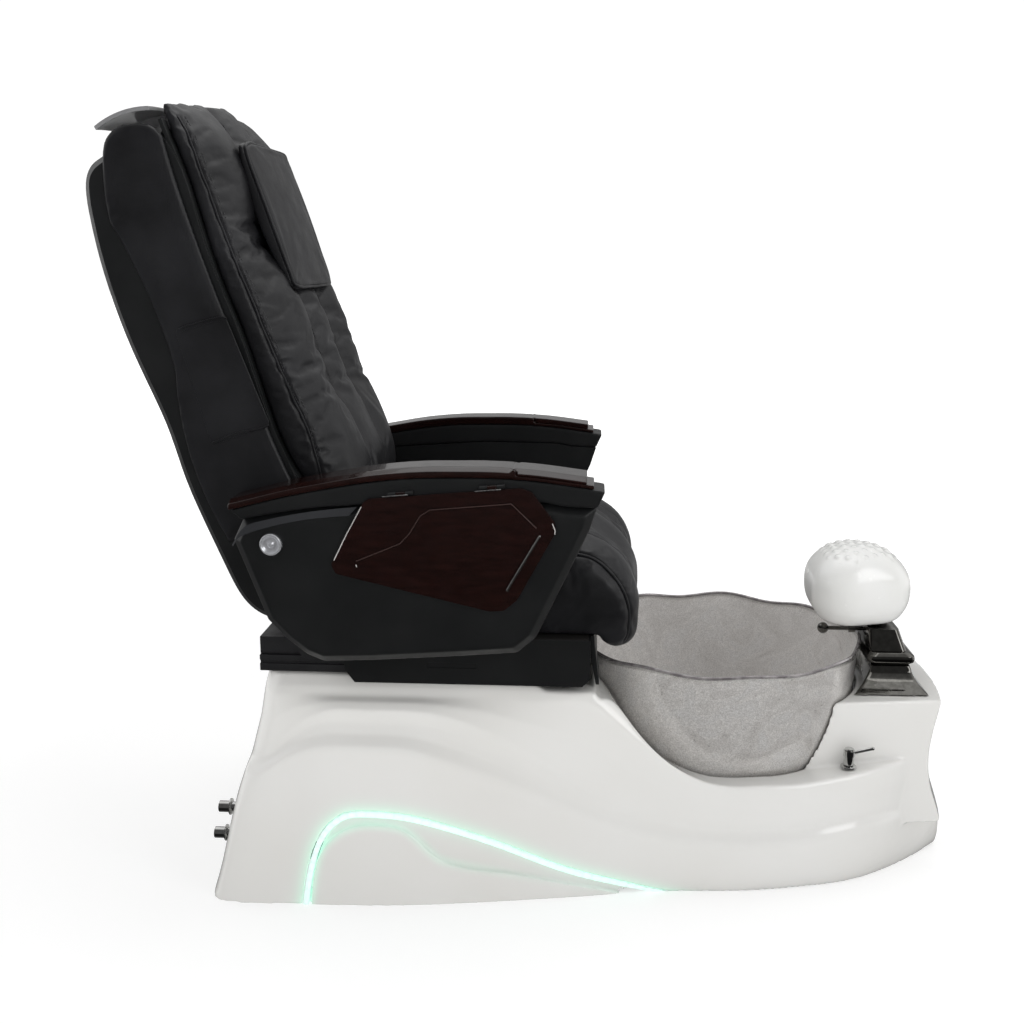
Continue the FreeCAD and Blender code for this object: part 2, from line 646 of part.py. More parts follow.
def bowl_pieces():
    """Glass foot bowl with a wavy rim, its drain and its water jet."""
    def ring(radius, z, rise):
        share = max(0.0, (rise - BOWL_WAVE_START) / (BOWL_RIM - BOWL_WAVE_START)) ** 2
        points = []
        count = BOWL_WAVES * 6
        for i in range(count):
            turn = 2 * math.pi * i / count
            out = radius + BOWL_WAVE_OUT * share * math.cos(BOWL_WAVES * turn)
            up = z + BOWL_WAVE_UP * share * math.sin(BOWL_WAVES * turn)
            points.append(V(BOWL_X + out * math.cos(turn), out * math.sin(turn), up))
        curve = Part.BSplineCurve()
        curve.interpolate(Points=points, PeriodicFlag=True)
        return Part.Wire([curve.toShape()])

    heights = bowl_heights()
    outside = [ring(bowl_radius(z), z, z) for z in heights]
    inside = [ring(bowl_radius(z) - BOWL_WALL, z, z) for z in heights if z > BOWL_FLOOR + 2 * BOWL_WALL]
    inside.insert(0, ring(BOWL_PROFILE[0][1], BOWL_FLOOR + BOWL_WALL, 0))
    faces = [Part.Face(outside[0]), Part.Face(inside[0])]
    faces += Part.makeLoft(outside, False, True).Faces
    faces += Part.makeLoft(inside, False, True).Faces
    faces += Part.makeLoft([outside[-1], inside[-1]], False, True).Faces
    skin = Part.makeShell(faces)
    skin.sewShape(1e-4)
    bowl = Part.makeSolid(skin)
    top = BOWL_FLOOR + BOWL_WALL
    drain = V(DRAIN_X, DRAIN_Y, 0)
    bowl = bowl.cut(rod(drain, drain + V(0, 0, 200), DRAIN_RADIUS + SEAT_GAP))
    bowl = bowl.cut(rod(V(JET_X, 0, 0), V(JET_X, 0, 200), JET_SHAFT + SEAT_GAP))

    pipe_in = DRAIN_RADIUS - DRAIN_WALL
    corner = V(DRAIN_X, DRAIN_Y, DRAIN_PIPE_Z)
    outlet = V(DRAIN_OUTLET_X, DRAIN_Y, DRAIN_PIPE_Z)
    body = rod(drain + V(0, 0, top), drain + V(0, 0, top + 3), DRAIN_FLANGE)
    pipe = DRAIN_RADIUS - DRAIN_STEP
    body = fused(body, rod(corner, drain + V(0, 0, top), DRAIN_RADIUS), rod(outlet, corner, pipe),
                 Part.makeSphere(DRAIN_RADIUS, corner), rod(outlet, outlet + V(DRAIN_SPIGOT, 0, 0), DRAIN_RADIUS))
    way = fused(rod(corner, drain + V(0, 0, top + 10), pipe_in),
                rod(outlet - V(10, 0, 0), corner, pipe_in), Part.makeSphere(pipe_in, corner))
    drain_fitting = body.cut(way)
    for i in range(2):
        bar = box((DRAIN_X - DRAIN_RADIUS, DRAIN_X + DRAIN_RADIUS), spread(DRAIN_Y, 2), (top, top + 3))
        bar.rotate(drain, Z_AXIS, 90 * i)
        drain_fitting = drain_fitting.fuse(bar)

    jet = V(JET_X, 0, top + SEAT_GAP)
    cover = rod(jet, jet + V(0, 0, JET_HEIGHT), JET_RADIUS)
    cover = cover.makeFillet(8, [e for e in cover.Edges if e.BoundBox.ZMin > jet.z + JET_HEIGHT - 1
                                 and e.Closed])
    cover = cover.cut(rod(jet, jet + V(0, 0, JET_HEIGHT - 4), JET_RADIUS - 4))
    for i in range(8):
        turn = math.radians(45 * i)
        hole = jet + V(18 * math.cos(turn), 18 * math.sin(turn), 0)
        cover = cover.cut(rod(hole, hole + V(0, 0, 40), 3.5))
    below = BOWL_FLOOR - RECESS_WALL - SEAT_GAP
    pump = fused(rod(V(JET_X, 0, PUMP_BOTTOM), V(JET_X, 0, below - 12), PUMP_RADIUS),
                 rod(V(JET_X, 0, below - 12), V(JET_X, 0, below), PUMP_RADIUS + 8),
                 rod(V(JET_X, 0, below), V(JET_X, 0, top + JET_HEIGHT - 8), JET_SHAFT))
    return {"foot_bowl": bowl, "bowl_drain": drain_fitting, "jet_cover": cover, "jet_pump": pump}


def spread(centre, half):
    return (centre - half, centre + half)


def rear_fittings():
    """Water inlets and power inlet in the rear wall of the base."""
    inlets = []
    for z in INLET_HEIGHTS:
        face_x = smooth(REAR_LINE, z)
        inner, outer = (V(face_x - reach, INLET_Y, z) for reach in INLET_FLANGE_X)
        tip = outer - V(INLET_REACH, 0, 0)
        nut = V(face_x + INLET_NUT_X, INLET_Y, z)
        end = nut + V(13, 0, 0)
        body = fused(rod(tip, outer, INLET_RADIUS), rod(outer, inner, INLET_FLANGE),
                     rod(inner, end, INLET_RADIUS - INLET_STEP), rod(nut, nut + V(8, 0, 0), INLET_RADIUS + 4))
        inlets.append(body.cut(rod(tip, end, INLET_RADIUS - 3)))
    front = smooth(REAR_LINE, POWER_Z) - 5
    block = box((front, front + 34), spread(POWER_Y, POWER_WIDTH / 2), spread(POWER_Z, POWER_HEIGHT / 2))
    block = block.cut(box((front - 1, front + 16), spread(POWER_Y, 12.0), spread(POWER_Z, 8.5)))
    pins = []
    for dy, dz in ((-7, -2), (7, -2), (0, 3)):
        pins.append(box((front + 3, front + 16), spread(POWER_Y + dy, 1.0), spread(POWER_Z + dz, 2.0)))
    return {"water_inlets": Part.makeCompound(inlets), "power_inlet": block.fuse(pins)}


def base_frame():
    """Steel frame inside the base that carries the deck, and the feet below it."""
    inner, outer = FRAME_Y - FRAME_BAR, FRAME_Y
    deck_under = DECK_HEIGHT - WALL - SEAT_GAP
    low, high = FOOT_HEIGHT, FOOT_HEIGHT + 24
    bars = []
    for side in (-1, 1):
        y = tuple(sorted((side * inner, side * outer)))
        bars.append(box((FRAME_REAR, FRAME_NOSE), y, (low, high)))
        bars.append(box((UPRIGHT_X[0], UPRIGHT_X[1] + FRAME_BAR), y, (deck_under - FRAME_BAR, deck_under)))
        for x in UPRIGHT_X:
            bars.append(box((x, x + FRAME_BAR), y, (high, deck_under - FRAME_BAR)))
    for x in (FRAME_REAR, UPRIGHT_X[1], FRAME_NOSE - FRAME_BAR):
        bars.append(box((x, x + FRAME_BAR), (-inner, inner), (low, high)))
    feet = []
    for x in (FRAME_REAR + 15, UPRIGHT_X[1] + 15, FRAME_NOSE - 15):
        for side in (-1, 1):
            base = V(x, side * (inner + outer) / 2, 0)
            feet.append(turned([(0, 0), (24, 0), (24, 3), (14, FOOT_HEIGHT), (0, FOOT_HEIGHT)], base.x, base.y))
    return {"base_frame": bars[0].multiFuse(bars[1:]), "levelling_feet": Part.makeCompound(feet)}


def post_channel(extra, z):
    """Square way of the footrest's post, widened by the extra."""
    return box(spread(POST_X, POST_HALF + extra), spread(0, POST_HALF + extra), z)


def spout_pieces():
    """Polished water spout on the pedestal: flared housing and the collar on it."""
    def section(z, x_rear, x_front, half_rear, half_front, hollow):
        near, far = V(x_rear, -half_rear, z), V(x_rear, half_rear, z)
        arc = Part.Arc(far, V(x_rear + hollow, 0, z), near).toShape()
        side = [V(x_rear, -half_rear, z), V(x_front, -half_front, z), V(x_front, half_front, z), far]
        return Part.Wire([arc] + [Part.makeLine(a, b) for a, b in zip(side, side[1:])])

    bottom = PEDESTAL_TOP + SEAT_GAP
    flare = [(0.0, 0.0), (0.2, 0.42), (0.45, 0.72), (0.72, 0.91), (1.0, 1.0)]
    rings = []
    for rise, draw in flare:
        values = [a + (b - a) * draw for a, b in zip(HOUSING_FOOT, HOUSING_HEAD)]
        rings.append(section(bottom + (COLLAR_BOTTOM - bottom) * rise, *values))
    housing = Part.makeLoft(rings, True, True)
    housing = housing.cut(post_channel(MOVING_GAP, (300, 500)))

    middle = (COLLAR_BOTTOM + COLLAR_TOP) / 2
    rings = []
    for z, grow in ((COLLAR_BOTTOM, 0), (middle - 6, 7), (middle, 8), (middle + 6, 7), (COLLAR_TOP, 0)):
        x0, x1 = HOUSING_HEAD[0] - grow, HOUSING_HEAD[1] + grow
        half = HOUSING_HEAD[2] + grow
        corners = [V(x0, -half, z), V(x1, -half, z), V(x1, half, z), V(x0, half, z)]
        rings.append(rounded(corners, 14))
    collar = Part.makeLoft(rings, True, True).cut(post_channel(MOVING_GAP, (300, 500)))
    return {"spout_housing": housing, "spout_collar": collar}


def footrest_pieces():
    """Sliding post with its tapered neck, the clamp knob and the foot pad on its pin."""
    neck_low = COLLAR_TOP + SEAT_GAP
    x0, x1 = HOUSING_HEAD[0] - 2, HOUSING_HEAD[1] - 6
    low = rounded([V(x0, -76, neck_low), V(x1, -76, neck_low), V(x1, 76, neck_low), V(x0, 76, neck_low)], 10)
    x1 = x1 - NECK_TAPER
    high = rounded([V(x0, -64, NECK_TOP), V(x1, -64, NECK_TOP), V(x1, 64, NECK_TOP), V(x0, 64, NECK_TOP)], 10)
    post = Part.makeLoft([low, high], True, True)
    post = post.fuse(post_channel(0, (PEDESTAL_TOP - POST_DEPTH, neck_low + 5)))
    pin_at = V(FOOTREST_PIN_X, 0, FOOTREST_PIN_Z)
    for side in (-1, 1):
        y = tuple(sorted((side * EAR_Y[0], side * EAR_Y[1])))
        ear = box(spread(FOOTREST_PIN_X, EAR_HALF), y, (NECK_TOP - 5, FOOTREST_PIN_Z))
        ear = ear.fuse(rod(pin_at + V(0, y[0], 0), pin_at + V(0, y[1], 0), EAR_HALF))
        post = post.fuse(ear)
    post = post.fuse(rod(pin_at - V(0, EAR_Y[0], 0), pin_at + V(0, EAR_Y[0], 0), FOOTREST_PIN))
    knob_at = V(x0, 0, KNOB_Z)
    post = post.cut(rod(knob_at - V(1, 0, 0), knob_at + V(KNOB_DEPTH, 0, 0), KNOB_STEM + RUNNING_GAP))

    stem_end = knob_at - V(KNOB_REACH, 0, 0)
    knob = rod(stem_end, knob_at + V(KNOB_DEPTH - 1, 0, 0), KNOB_STEM)
    nut = knob_at - V(26, 0, 0)
    knob = knob.fuse(rod(nut, nut + V(12, 0, 0), KNOB_STEM + 4)).fuse(Part.makeSphere(KNOB_BALL, stem_end))

    pad = Part.makeLoft([pad_outline(z, share) for z, share in PAD_RINGS], True, False)
    pocket = box(spread(FOOTREST_PIN_X, EAR_HALF + 12), spread(0, EAR_Y[1] + MOVING_GAP),
                 (FOOTREST_BOTTOM - 10, FOOTREST_PIN_Z + EAR_HALF + MOVING_GAP))
    lug_half = EAR_Y[0] - SEAT_GAP
    lug = box(spread(FOOTREST_PIN_X, EAR_HALF), spread(0, lug_half),
              (FOOTREST_PIN_Z, FOOTREST_PIN_Z + EAR_HALF + MOVING_GAP + 1))
    lug = lug.fuse(rod(pin_at - V(0, lug_half, 0), pin_at + V(0, lug_half, 0), EAR_HALF))
    bore = rod(pin_at - V(0, 30, 0), pin_at + V(0, 30, 0), FOOTREST_PIN + RUNNING_GAP)
    pad = pad.cut(pocket).fuse(lug).cut(bore)
    return {"footrest_post": post, "footrest_knob": knob, "footrest_pad": pad}


def pad_outline(z, share):
    """Rounded triangle of the foot pad, wide towards the sitter."""
    wide, narrow = PAD_WIDE * share, PAD_NARROW * share
    rear = FOOTREST_X - PAD_LENGTH / 2 * share
    front = FOOTREST_X + PAD_LENGTH / 2 * share
    corners = [V(rear, -wide, z), V(front, -narrow, z), V(front, narrow, z), V(rear, wide, z)]
    return rounded(corners, PAD_CORNER * share)


def valve_pieces():
    """Drain and water valve on the ledge, with its lever."""
    foot = VALVE
    plate_disc = turned([(0, 0), (15, 0), (14, 4), (0, 5)], foot.x, foot.y)
    plate_disc.translate(V(0, 0, foot.z))
    plate_disc = plate_disc.cut(rod(foot - V(0, 0, 5), foot + V(0, 0, 10), VALVE_STEM + RUNNING_GAP))
    stem = foot + V(0, 0, 5)
    body = fused(rod(foot - V(0, 0, 30), stem, VALVE_STEM), rod(stem + V(0, 0, 0.3), stem + V(0, 0, 17), 9),
                 rod(stem, stem + V(0, 0, 32), 4))
    hub = stem + V(0, 0, 17 + SEAT_GAP)
    lever = rod(hub, hub + V(0, 0, 11), 10).cut(rod(hub, hub + V(0, 0, 40), 4 + RUNNING_GAP))
    arm_start = hub + V(8, 0, 6)
    arm_end = arm_start + V(34, 0, 9)
    lever = lever.fuse(rod(arm_start, arm_end, 3.2)).fuse(Part.makeSphere(3.6, arm_end))
    lever = lever.cut(rod(hub, hub + V(0, 0, 40), 4 + RUNNING_GAP))
    cap_low = hub + V(0, 0, 11 + SEAT_GAP)
    body = body.fuse(rod(cap_low, cap_low + V(0, 0, 3), 8))
    return {"valve_plate": plate_disc, "valve_body": body, "valve_lever": lever}


def slide_pieces():
    """Tracks and drive on the deck."""
    top = DECK_HEIGHT + SEAT_GAP
    track = box((TRACK_REAR, TRACK_FRONT), spread(-TRACK_Y, TRACK_WIDTH / 2), (top, top + TRACK_HEIGHT))
    groove = box((TRACK_REAR - 1, TRACK_FRONT + 1), (-TRACK_Y - 30, -TRACK_Y - TRACK_WIDTH / 2 + 4),
                 spread(top + 17, 3))
    track = track.cut(groove)
    motor = box((SLIDE_MOTOR_X, SLIDE_MOTOR_X + 62), spread(SCREW_Y, 22), (top, top + 26))
    motor = motor.fuse(rod(V(SLIDE_MOTOR_X + 60, SCREW_Y, SCREW_Z), V(SCREW_FRONT, SCREW_Y, SCREW_Z), SCREW_RADIUS))
    return {"slide_tracks": both_sides(track), "slide_motor": motor}


def seat_pieces():
    """Sliding seat frame with its board, pan, front skirt and cushion, and the arm brackets."""
    runner_low = DECK_HEIGHT + 2 * SEAT_GAP + TRACK_HEIGHT
    frame_top = runner_low + RUNNER_HEIGHT
    tube_y = (-TRACK_Y - FRAME_TUBE / 2, -TRACK_Y + FRAME_TUBE / 2)
    runner = box((TRACK_REAR, FRAME_FRONT), tube_y, (runner_low, frame_top))
    parts = [runner, mirrored(runner)]
    for x in CROSS_X:
        parts.append(box((x, x + FRAME_TUBE), (tube_y[0], -tube_y[0]), (runner_low + 2, frame_top)))
    ear = box(spread(HINGE_X, 18), HINGE_EAR_Y, (frame_top - 4, HINGE_Z))
    ear = ear.fuse(rod(V(HINGE_X, HINGE_EAR_Y[0], HINGE_Z), V(HINGE_X, HINGE_EAR_Y[1], HINGE_Z), 18))
    parts += [ear, mirrored(ear)]
    parts.append(rod(V(HINGE_X, HINGE_EAR_Y[0], HINGE_Z), V(HINGE_X, -HINGE_EAR_Y[0], HINGE_Z), HINGE_PIN))
    nut_x = CROSS_X[2]
    parts.append(box((nut_x, nut_x + FRAME_TUBE), spread(SCREW_Y, 15), (SCREW_Z - 11, runner_low + 4)))
    frame = fused(*parts)
    frame = frame.cut(rod(V(TRACK_REAR - 5, SCREW_Y, SCREW_Z), V(FRAME_FRONT, SCREW_Y, SCREW_Z),
                          SCREW_RADIUS + RUNNING_GAP))
    rod_z = lever_point().z
    frame = frame.cut(rod(V(CROSS_X[1] - 5, 0, rod_z), V(CROSS_X[1] + FRAME_TUBE + 5, 0, rod_z),
                          ROD_RADIUS + MOVING_GAP))

    board_low = frame_top + SEAT_GAP
    board_top = board_low + BOARD_THICKNESS
    inside = PAN_HALF - PAN_WALL - SEAT_GAP
    board = box((SEAT_REAR + 22, PAN_FRONT - PAN_WALL - SEAT_GAP), (-inside, inside), (board_low, board_top))

    pan_top = board_top - SEAT_GAP
    side_view = [(PAN_REAR, pan_top), (PAN_REAR, PAN_BOTTOM + PAN_CHAMFER), (PAN_REAR + 18, PAN_BOTTOM),
                 (PAN_FRONT - 14, PAN_BOTTOM), (PAN_FRONT, PAN_BOTTOM + 14), (PAN_FRONT, pan_top)]
    pan = plate(polygon(side_points(side_view)), (-PAN_HALF, PAN_HALF))
    hollow = PAN_HALF - PAN_WALL
    pan = pan.cut(box((PAN_REAR - 5, PAN_FRONT - PAN_WALL), (-hollow, hollow), (PAN_BOTTOM - 5, pan_top + 5)))
    for side in (-1, 1):
        slot = box((PAN_REAR + 149, PAN_REAR + 238), spread(side * PAN_HALF, 1.2), (419, 429))
        pan = pan.cut(slot)
    rim_top = BOWL_RIM + BOWL_WAVE_UP + MOVING_GAP
    rim_space = rod(V(BOWL_X, 0, BOWL_FLOOR), V(BOWL_X, 0, rim_top),
                    bowl_radius(BOWL_RIM) + BOWL_WAVE_OUT + MOVING_GAP)
    pan = pan.cut(rim_space)

    skirt_top = board_top - SEAT_GAP
    skirt = plate(polygon(side_points([(PAN_FRONT + SEAT_GAP, skirt_top),
                                       (PAN_FRONT + SKIRT_THICKNESS, skirt_top),
                                       (PAN_FRONT + SKIRT_LEAN + SKIRT_THICKNESS, SKIRT_BOTTOM),
                                       (PAN_FRONT + SKIRT_LEAN, SKIRT_BOTTOM),
                                       (PAN_FRONT + SEAT_GAP, SKIRT_BOTTOM + 50)])),
                  (-SEAT_HALF, SEAT_HALF)).cut(rim_space)

    cushion = seat_cushion(board_top + SEAT_GAP)

    leg = box(BRACKET_LEG_X, (-BRACKET_Y[1], tube_y[0] - SEAT_GAP), (runner_low + 4, frame_top - 4))
    upright = plate(rounded(side_points(BRACKET_OUTLINE), 12), (-BRACKET_Y[1], -BRACKET_Y[0]))
    stud = rod(V(PIVOT_X, -BRACKET_Y[0], PIVOT_Z), V(PIVOT_X, -ARM_OUT + ARM_WALL + SEAT_GAP, PIVOT_Z),
               PIVOT_PIN)
    bracket = fused(leg, upright, stud)
    return {"seat_frame": frame, "seat_board": board, "seat_pan": pan, "front_skirt": skirt,
            "seat_cushion": cushion, "arm_brackets": both_sides(bracket)}


def seat_cushion(bottom):
    """Seat cushion: crowned top, rounded front roll that hangs below the board, drawn-in sides."""
    def section(y, inset, crown):
        top = SEAT_TOP + crown - inset
        front = SEAT_FRONT + crown * 0.5 - inset
        rear = SEAT_REAR + inset * 0.5
        under = SEAT_ROLL_BOTTOM + inset * 0.6
        back_of_roll = PAN_FRONT + SKIRT_LEAN + SKIRT_THICKNESS + 2
        p = side_points([(rear, bottom), (rear, top - 44), (rear + 9, top - 20), (rear + 32, top - 10),
                         (-180, top - 3), (20, top), (front - 36, top - 34), (front, top - 108),
                         (front - 2, under + 34), (front - 10, under + 9), (front - 32, under),
                         (back_of_roll + 8, under + 5), (back_of_roll, bottom)], y)
        edges = [Part.makeLine(p[0], p[1]), Part.Arc(p[1], p[2], p[3]).toShape(),
                 Part.Arc(p[3], p[4], p[5]).toShape(), Part.Arc(p[5], p[6], p[7]).toShape(),
                 Part.makeLine(p[7], p[8]), Part.Arc(p[8], p[9], p[10]).toShape(),
                 Part.Arc(p[10], p[11], p[12]).toShape(), Part.makeLine(p[12], p[0])]
        return Part.Wire(edges)

    stations = [(-1.0, 16, 0), (-0.955, 4, 2), (-0.55, 0, SEAT_CROWN * 0.75), (0.0, 0, SEAT_CROWN)]
    stations += [(-place, inset, crown) for place, inset, crown in reversed(stations[:-1])]
    return Part.makeLoft([section(place * SEAT_HALF, inset, crown) for place, inset, crown in stations],
                         True, False)


def recline_pieces():
    """Recline motor under the seat board and the rod that pulls the back's lever."""
    pin = lever_point()
    end = CROSS_X[2] - SEAT_GAP
    nose = end - MOTOR_LENGTH
    motor = box((nose, end), spread(0, 27), spread(pin.z, 21))
    motor = motor.fuse(rod(V(nose - MOTOR_NOSE, 0, pin.z), V(nose, 0, pin.z), ROD_RADIUS + 7))
    motor = motor.cut(rod(V(nose - MOTOR_NOSE - 5, 0, pin.z), V(end - 10, 0, pin.z), ROD_RADIUS + RUNNING_GAP))
    bar = rod(V(pin.x, 0, pin.z), V(end - 50, 0, pin.z), ROD_RADIUS)
    flat = box(spread(pin.x, EYE_RADIUS + 14), spread(0, 30), spread(pin.z, 30))
    flat = flat.cut(box(spread(pin.x, 40), spread(0, EYE_HALF), spread(pin.z, 40)))
    bar = bar.cut(flat).fuse(rod(V(pin.x, -EYE_HALF, pin.z), V(pin.x, EYE_HALF, pin.z), EYE_RADIUS))
    bar = bar.cut(rod(V(pin.x, -20, pin.z), V(pin.x, 20, pin.z), LEVER_PIN + OPEN_PIVOT_GAP))
    return {"recline_motor": motor, "recline_rod": bar}


def lever_point():
    """Place of the lever's pin: level with the rod at both ends of the recline."""
    half = math.radians(RECLINE_MAX / 2)
    return V(HINGE_X - LEVER_LENGTH * math.sin(half), 0, HINGE_Z - LEVER_LENGTH * math.cos(half))


def on_rail(shape):
    """Moves a shape from the back's own frame (z up the rails, x forwards) to its place."""
    run = V(RAIL_HIGH[0] - RAIL_LOW[0], 0, RAIL_HIGH[1] - RAIL_LOW[1])
    shape.rotate(ORIGIN, Y_AXIS, math.degrees(math.atan2(run.x, run.z)))
    shape.translate(V(RAIL_LOW[0], 0, RAIL_LOW[1]))
    return shape


def rail_length():
    return math.hypot(RAIL_HIGH[0] - RAIL_LOW[0], RAIL_HIGH[1] - RAIL_LOW[1])


def back_frame_pieces():
    """Steel back frame with its hinge lugs and recline lever, and the massage rails in it."""
    length = rail_length()
    bars = []
    side = box((-12.5, 12.5), (-FRAME_SIDE_Y - FRAME_SIDE_WIDTH, -FRAME_SIDE_Y), (-112, length + 30))
    bars += [on_rail(side.copy()), on_rail(mirrored(side))]
    for z in (-24, length + 2):
        bars.append(on_rail(box((-12.5, 12.5), (-FRAME_SIDE_Y, FRAME_SIDE_Y), (z, z + 22))))
    side_out = FRAME_SIDE_Y + FRAME_SIDE_WIDTH
    for z in SHELL_BRACKETS:
        bracket = box(spread(0, 8), (-SHELL_HALF + SHELL_WALL + SEAT_GAP, -side_out), spread(z, 20))
        bars += [on_rail(bracket.copy()), on_rail(mirrored(bracket))]
    lug_end = on_rail(Part.Vertex(V(0, 0, -100))).Point
    lug = plate(polygon(side_points([(HINGE_X - 17, HINGE_Z), (HINGE_X + 17, HINGE_Z),
                                     (lug_end.x + 14, lug_end.z + 10), (lug_end.x - 14, lug_end.z - 2)])),
                (-LUG_Y[1], -LUG_Y[0]))
    lug = lug.fuse(rod(V(HINGE_X, -LUG_Y[1], HINGE_Z), V(HINGE_X, -LUG_Y[0], HINGE_Z), 18))
    bars += [lug, mirrored(lug)]
    bars.append(rod(V(HINGE_X, -LUG_Y[1], HINGE_Z), V(HINGE_X, LUG_Y[1], HINGE_Z), 14))
    pin = lever_point()
    for low, high in ((-CLEVIS_Y[1], -CLEVIS_Y[0]), (CLEVIS_Y[0], CLEVIS_Y[1])):
        lever = plate(polygon(side_points([(HINGE_X - 13, HINGE_Z), (HINGE_X + 13, HINGE_Z),
                                           (pin.x + 9, pin.z), (pin.x - 9, pin.z)])), (low, high))
        bars.append(lever.fuse(rod(V(pin.x, low, pin.z), V(pin.x, high, pin.z), 10)))
    bars.append(rod(V(pin.x, -CLEVIS_Y[1], pin.z), V(pin.x, CLEVIS_Y[1], pin.z), LEVER_PIN))
    frame = fused(*bars)
    bore = rod(V(HINGE_X, -300, HINGE_Z), V(HINGE_X, 300, HINGE_Z), HINGE_PIN + RUNNING_GAP)
    frame = frame.cut(bore)
    rail = on_rail(rod(V(0, -RAIL_Y, -1.7), V(0, -RAIL_Y, length + 1.7), RAIL_RADIUS))
    return {"back_frame": frame, "massage_rails": both_sides(rail)}


def massage_pieces():
    """Massage carriage on the rails and its roller shaft."""
    low, high = spread(CARRIAGE_REST, CARRIAGE_LENGTH / 2)
    body = box((-18, -10), (-RAIL_Y - 22, RAIL_Y + 22), (low, high))
    for side in (-1, 1):
        body = body.fuse(box((-18, 18), spread(side * RAIL_Y, 20), (low, high)))
        body = body.fuse(box((-12, 44), spread(side * LUG_SHAFT_Y, 6), (CARRIAGE_REST - 20, CARRIAGE_REST + 20)))
    for side in (-1, 1):
        body = body.cut(rod(V(0, side * RAIL_Y, low - 5), V(0, side * RAIL_Y, high + 5), RAIL_RADIUS + RUNNING_GAP))
    axis = V(SHAFT_FORWARD, 0, CARRIAGE_REST)
    body = body.cut(rod(axis - V(0, 100, 0), axis + V(0, 100, 0), SHAFT_RADIUS + RUNNING_GAP))
    rollers = rod(axis - V(0, 112, 0), axis + V(0, 112, 0), SHAFT_RADIUS)
    for y in (-100, -44, 44, 100):
        disc = rod(axis + V(0, y - 12, 0), axis + V(0, y + 12, 0), ROLLER_RADIUS)
        disc = disc.makeFillet(9, [e for e in disc.Edges if e.Closed])
        rollers = rollers.fuse(disc)
    return {"massage_carriage": on_rail(body), "massage_rollers": on_rail(rollers)}


def cushion_line(gap):
    """Rear face of the back cushion in the side view, from top to bottom, moved back by the gap."""
    line = []
    for x, z, lean, half, edge, bolster, centre in reversed(CUSHION_STATIONS[:-1]):
        turn = math.radians(lean)
        line.append((x - gap * math.cos(turn), z - gap * math.sin(turn)))
    return line


def back_outline(y, inset, reach):
    """Side view of the back casing at y, moved in at the rear and reaching forwards."""
    rear_line = shifted_line(REAR_OUTLINE, inset)
    rear = spline(side_points(rear_line, y))
    top = [(x, z - inset) for x, z in CASE_TOP]
    face = [(x + reach, z) for x, z in cushion_line(SEAT_GAP)]
    face[0] = (face[0][0], top[-1][1])
    front = spline(side_points(face, y))
    above = side_points([rear_line[-1]] + top + [face[0]], y)
    below = side_points([face[-1]] + [(x + reach, z) for x, z in CASE_NOSE] + [rear_line[0]], y)
    edges = [rear] + [Part.makeLine(a, b) for a, b in zip(above, above[1:])] + [front]
    return Part.Wire(edges + [Part.makeLine(a, b) for a, b in zip(below, below[1:])])


def flange_section(x, z, lean, *_):
    """Section of the casing's front rim on the right, behind the cushion's rear face."""
    out = V(math.cos(math.radians(lean)), 0, math.sin(math.radians(lean)))
    corners = []
    for depth, y in ((-FLANGE_LIP, -FLANGE_IN), (-FLANGE_LIP, -FLANGE_OUT),
                     (SEAT_GAP + SHELL_WALL, -FLANGE_OUT), (SEAT_GAP + SHELL_WALL, -FLANGE_IN)):
        corners.append(V(x, y, z) - out * depth)
    return polygon(corners)


def back_covers():
    """Moulded rear casing of the back and the trim cap over its top."""
    flat = SHELL_HALF - SHELL_BEVEL
    casing = Part.makeLoft([back_outline(-SHELL_HALF, SHELL_BEVEL * 0.7, 0), back_outline(-flat, 0, 0),
                            back_outline(flat, 0, 0), back_outline(SHELL_HALF, SHELL_BEVEL * 0.7, 0)],
                           True, True)
    w = SHELL_WALL
    hollow = Part.makeLoft([back_outline(-SHELL_HALF + w, SHELL_BEVEL * 0.7 + w, 40),
                            back_outline(-flat + w / 2, w, 40), back_outline(flat - w / 2, w, 40),
                            back_outline(SHELL_HALF - w, SHELL_BEVEL * 0.7 + w, 40)], True, True)
    casing = casing.cut(hollow)
    flange = Part.makeLoft([flange_section(*station) for station in CUSHION_STATIONS[:-1]], True, False)
    flange = flange.cut(back_cushion(SEAT_GAP))
    casing = fused(casing, flange, mirrored(flange))

    def strip(y, rise):
        outer = [(x, z + rise) for x, z in CAP_OUTLINE]
        inner = shifted_line(outer, CAP_THICKNESS)
        return closed_wire(spline(side_points(outer, y)), spline(side_points(inner[::-1], y)))

    cap = Part.makeLoft([strip(-SHELL_HALF, 0), strip(-SHELL_HALF * 0.6, CAP_CROWN * 0.8),
                         strip(0, CAP_CROWN), strip(SHELL_HALF * 0.6, CAP_CROWN * 0.8),
                         strip(SHELL_HALF, 0)], True, False)
    seat = [(x, z + SEAT_GAP) for x, z in CASE_TOP]
    rise = [(x, smooth(CAP_OUTLINE, x) + 2) for x, z in reversed(CASE_TOP)]
    for side in (-1, 1):
        cap = cap.fuse(plate(polygon(side_points(seat + rise)), spread(side * CAP_RIB_Y, 4)))
    return {"back_shell": casing, "top_cap": cap}


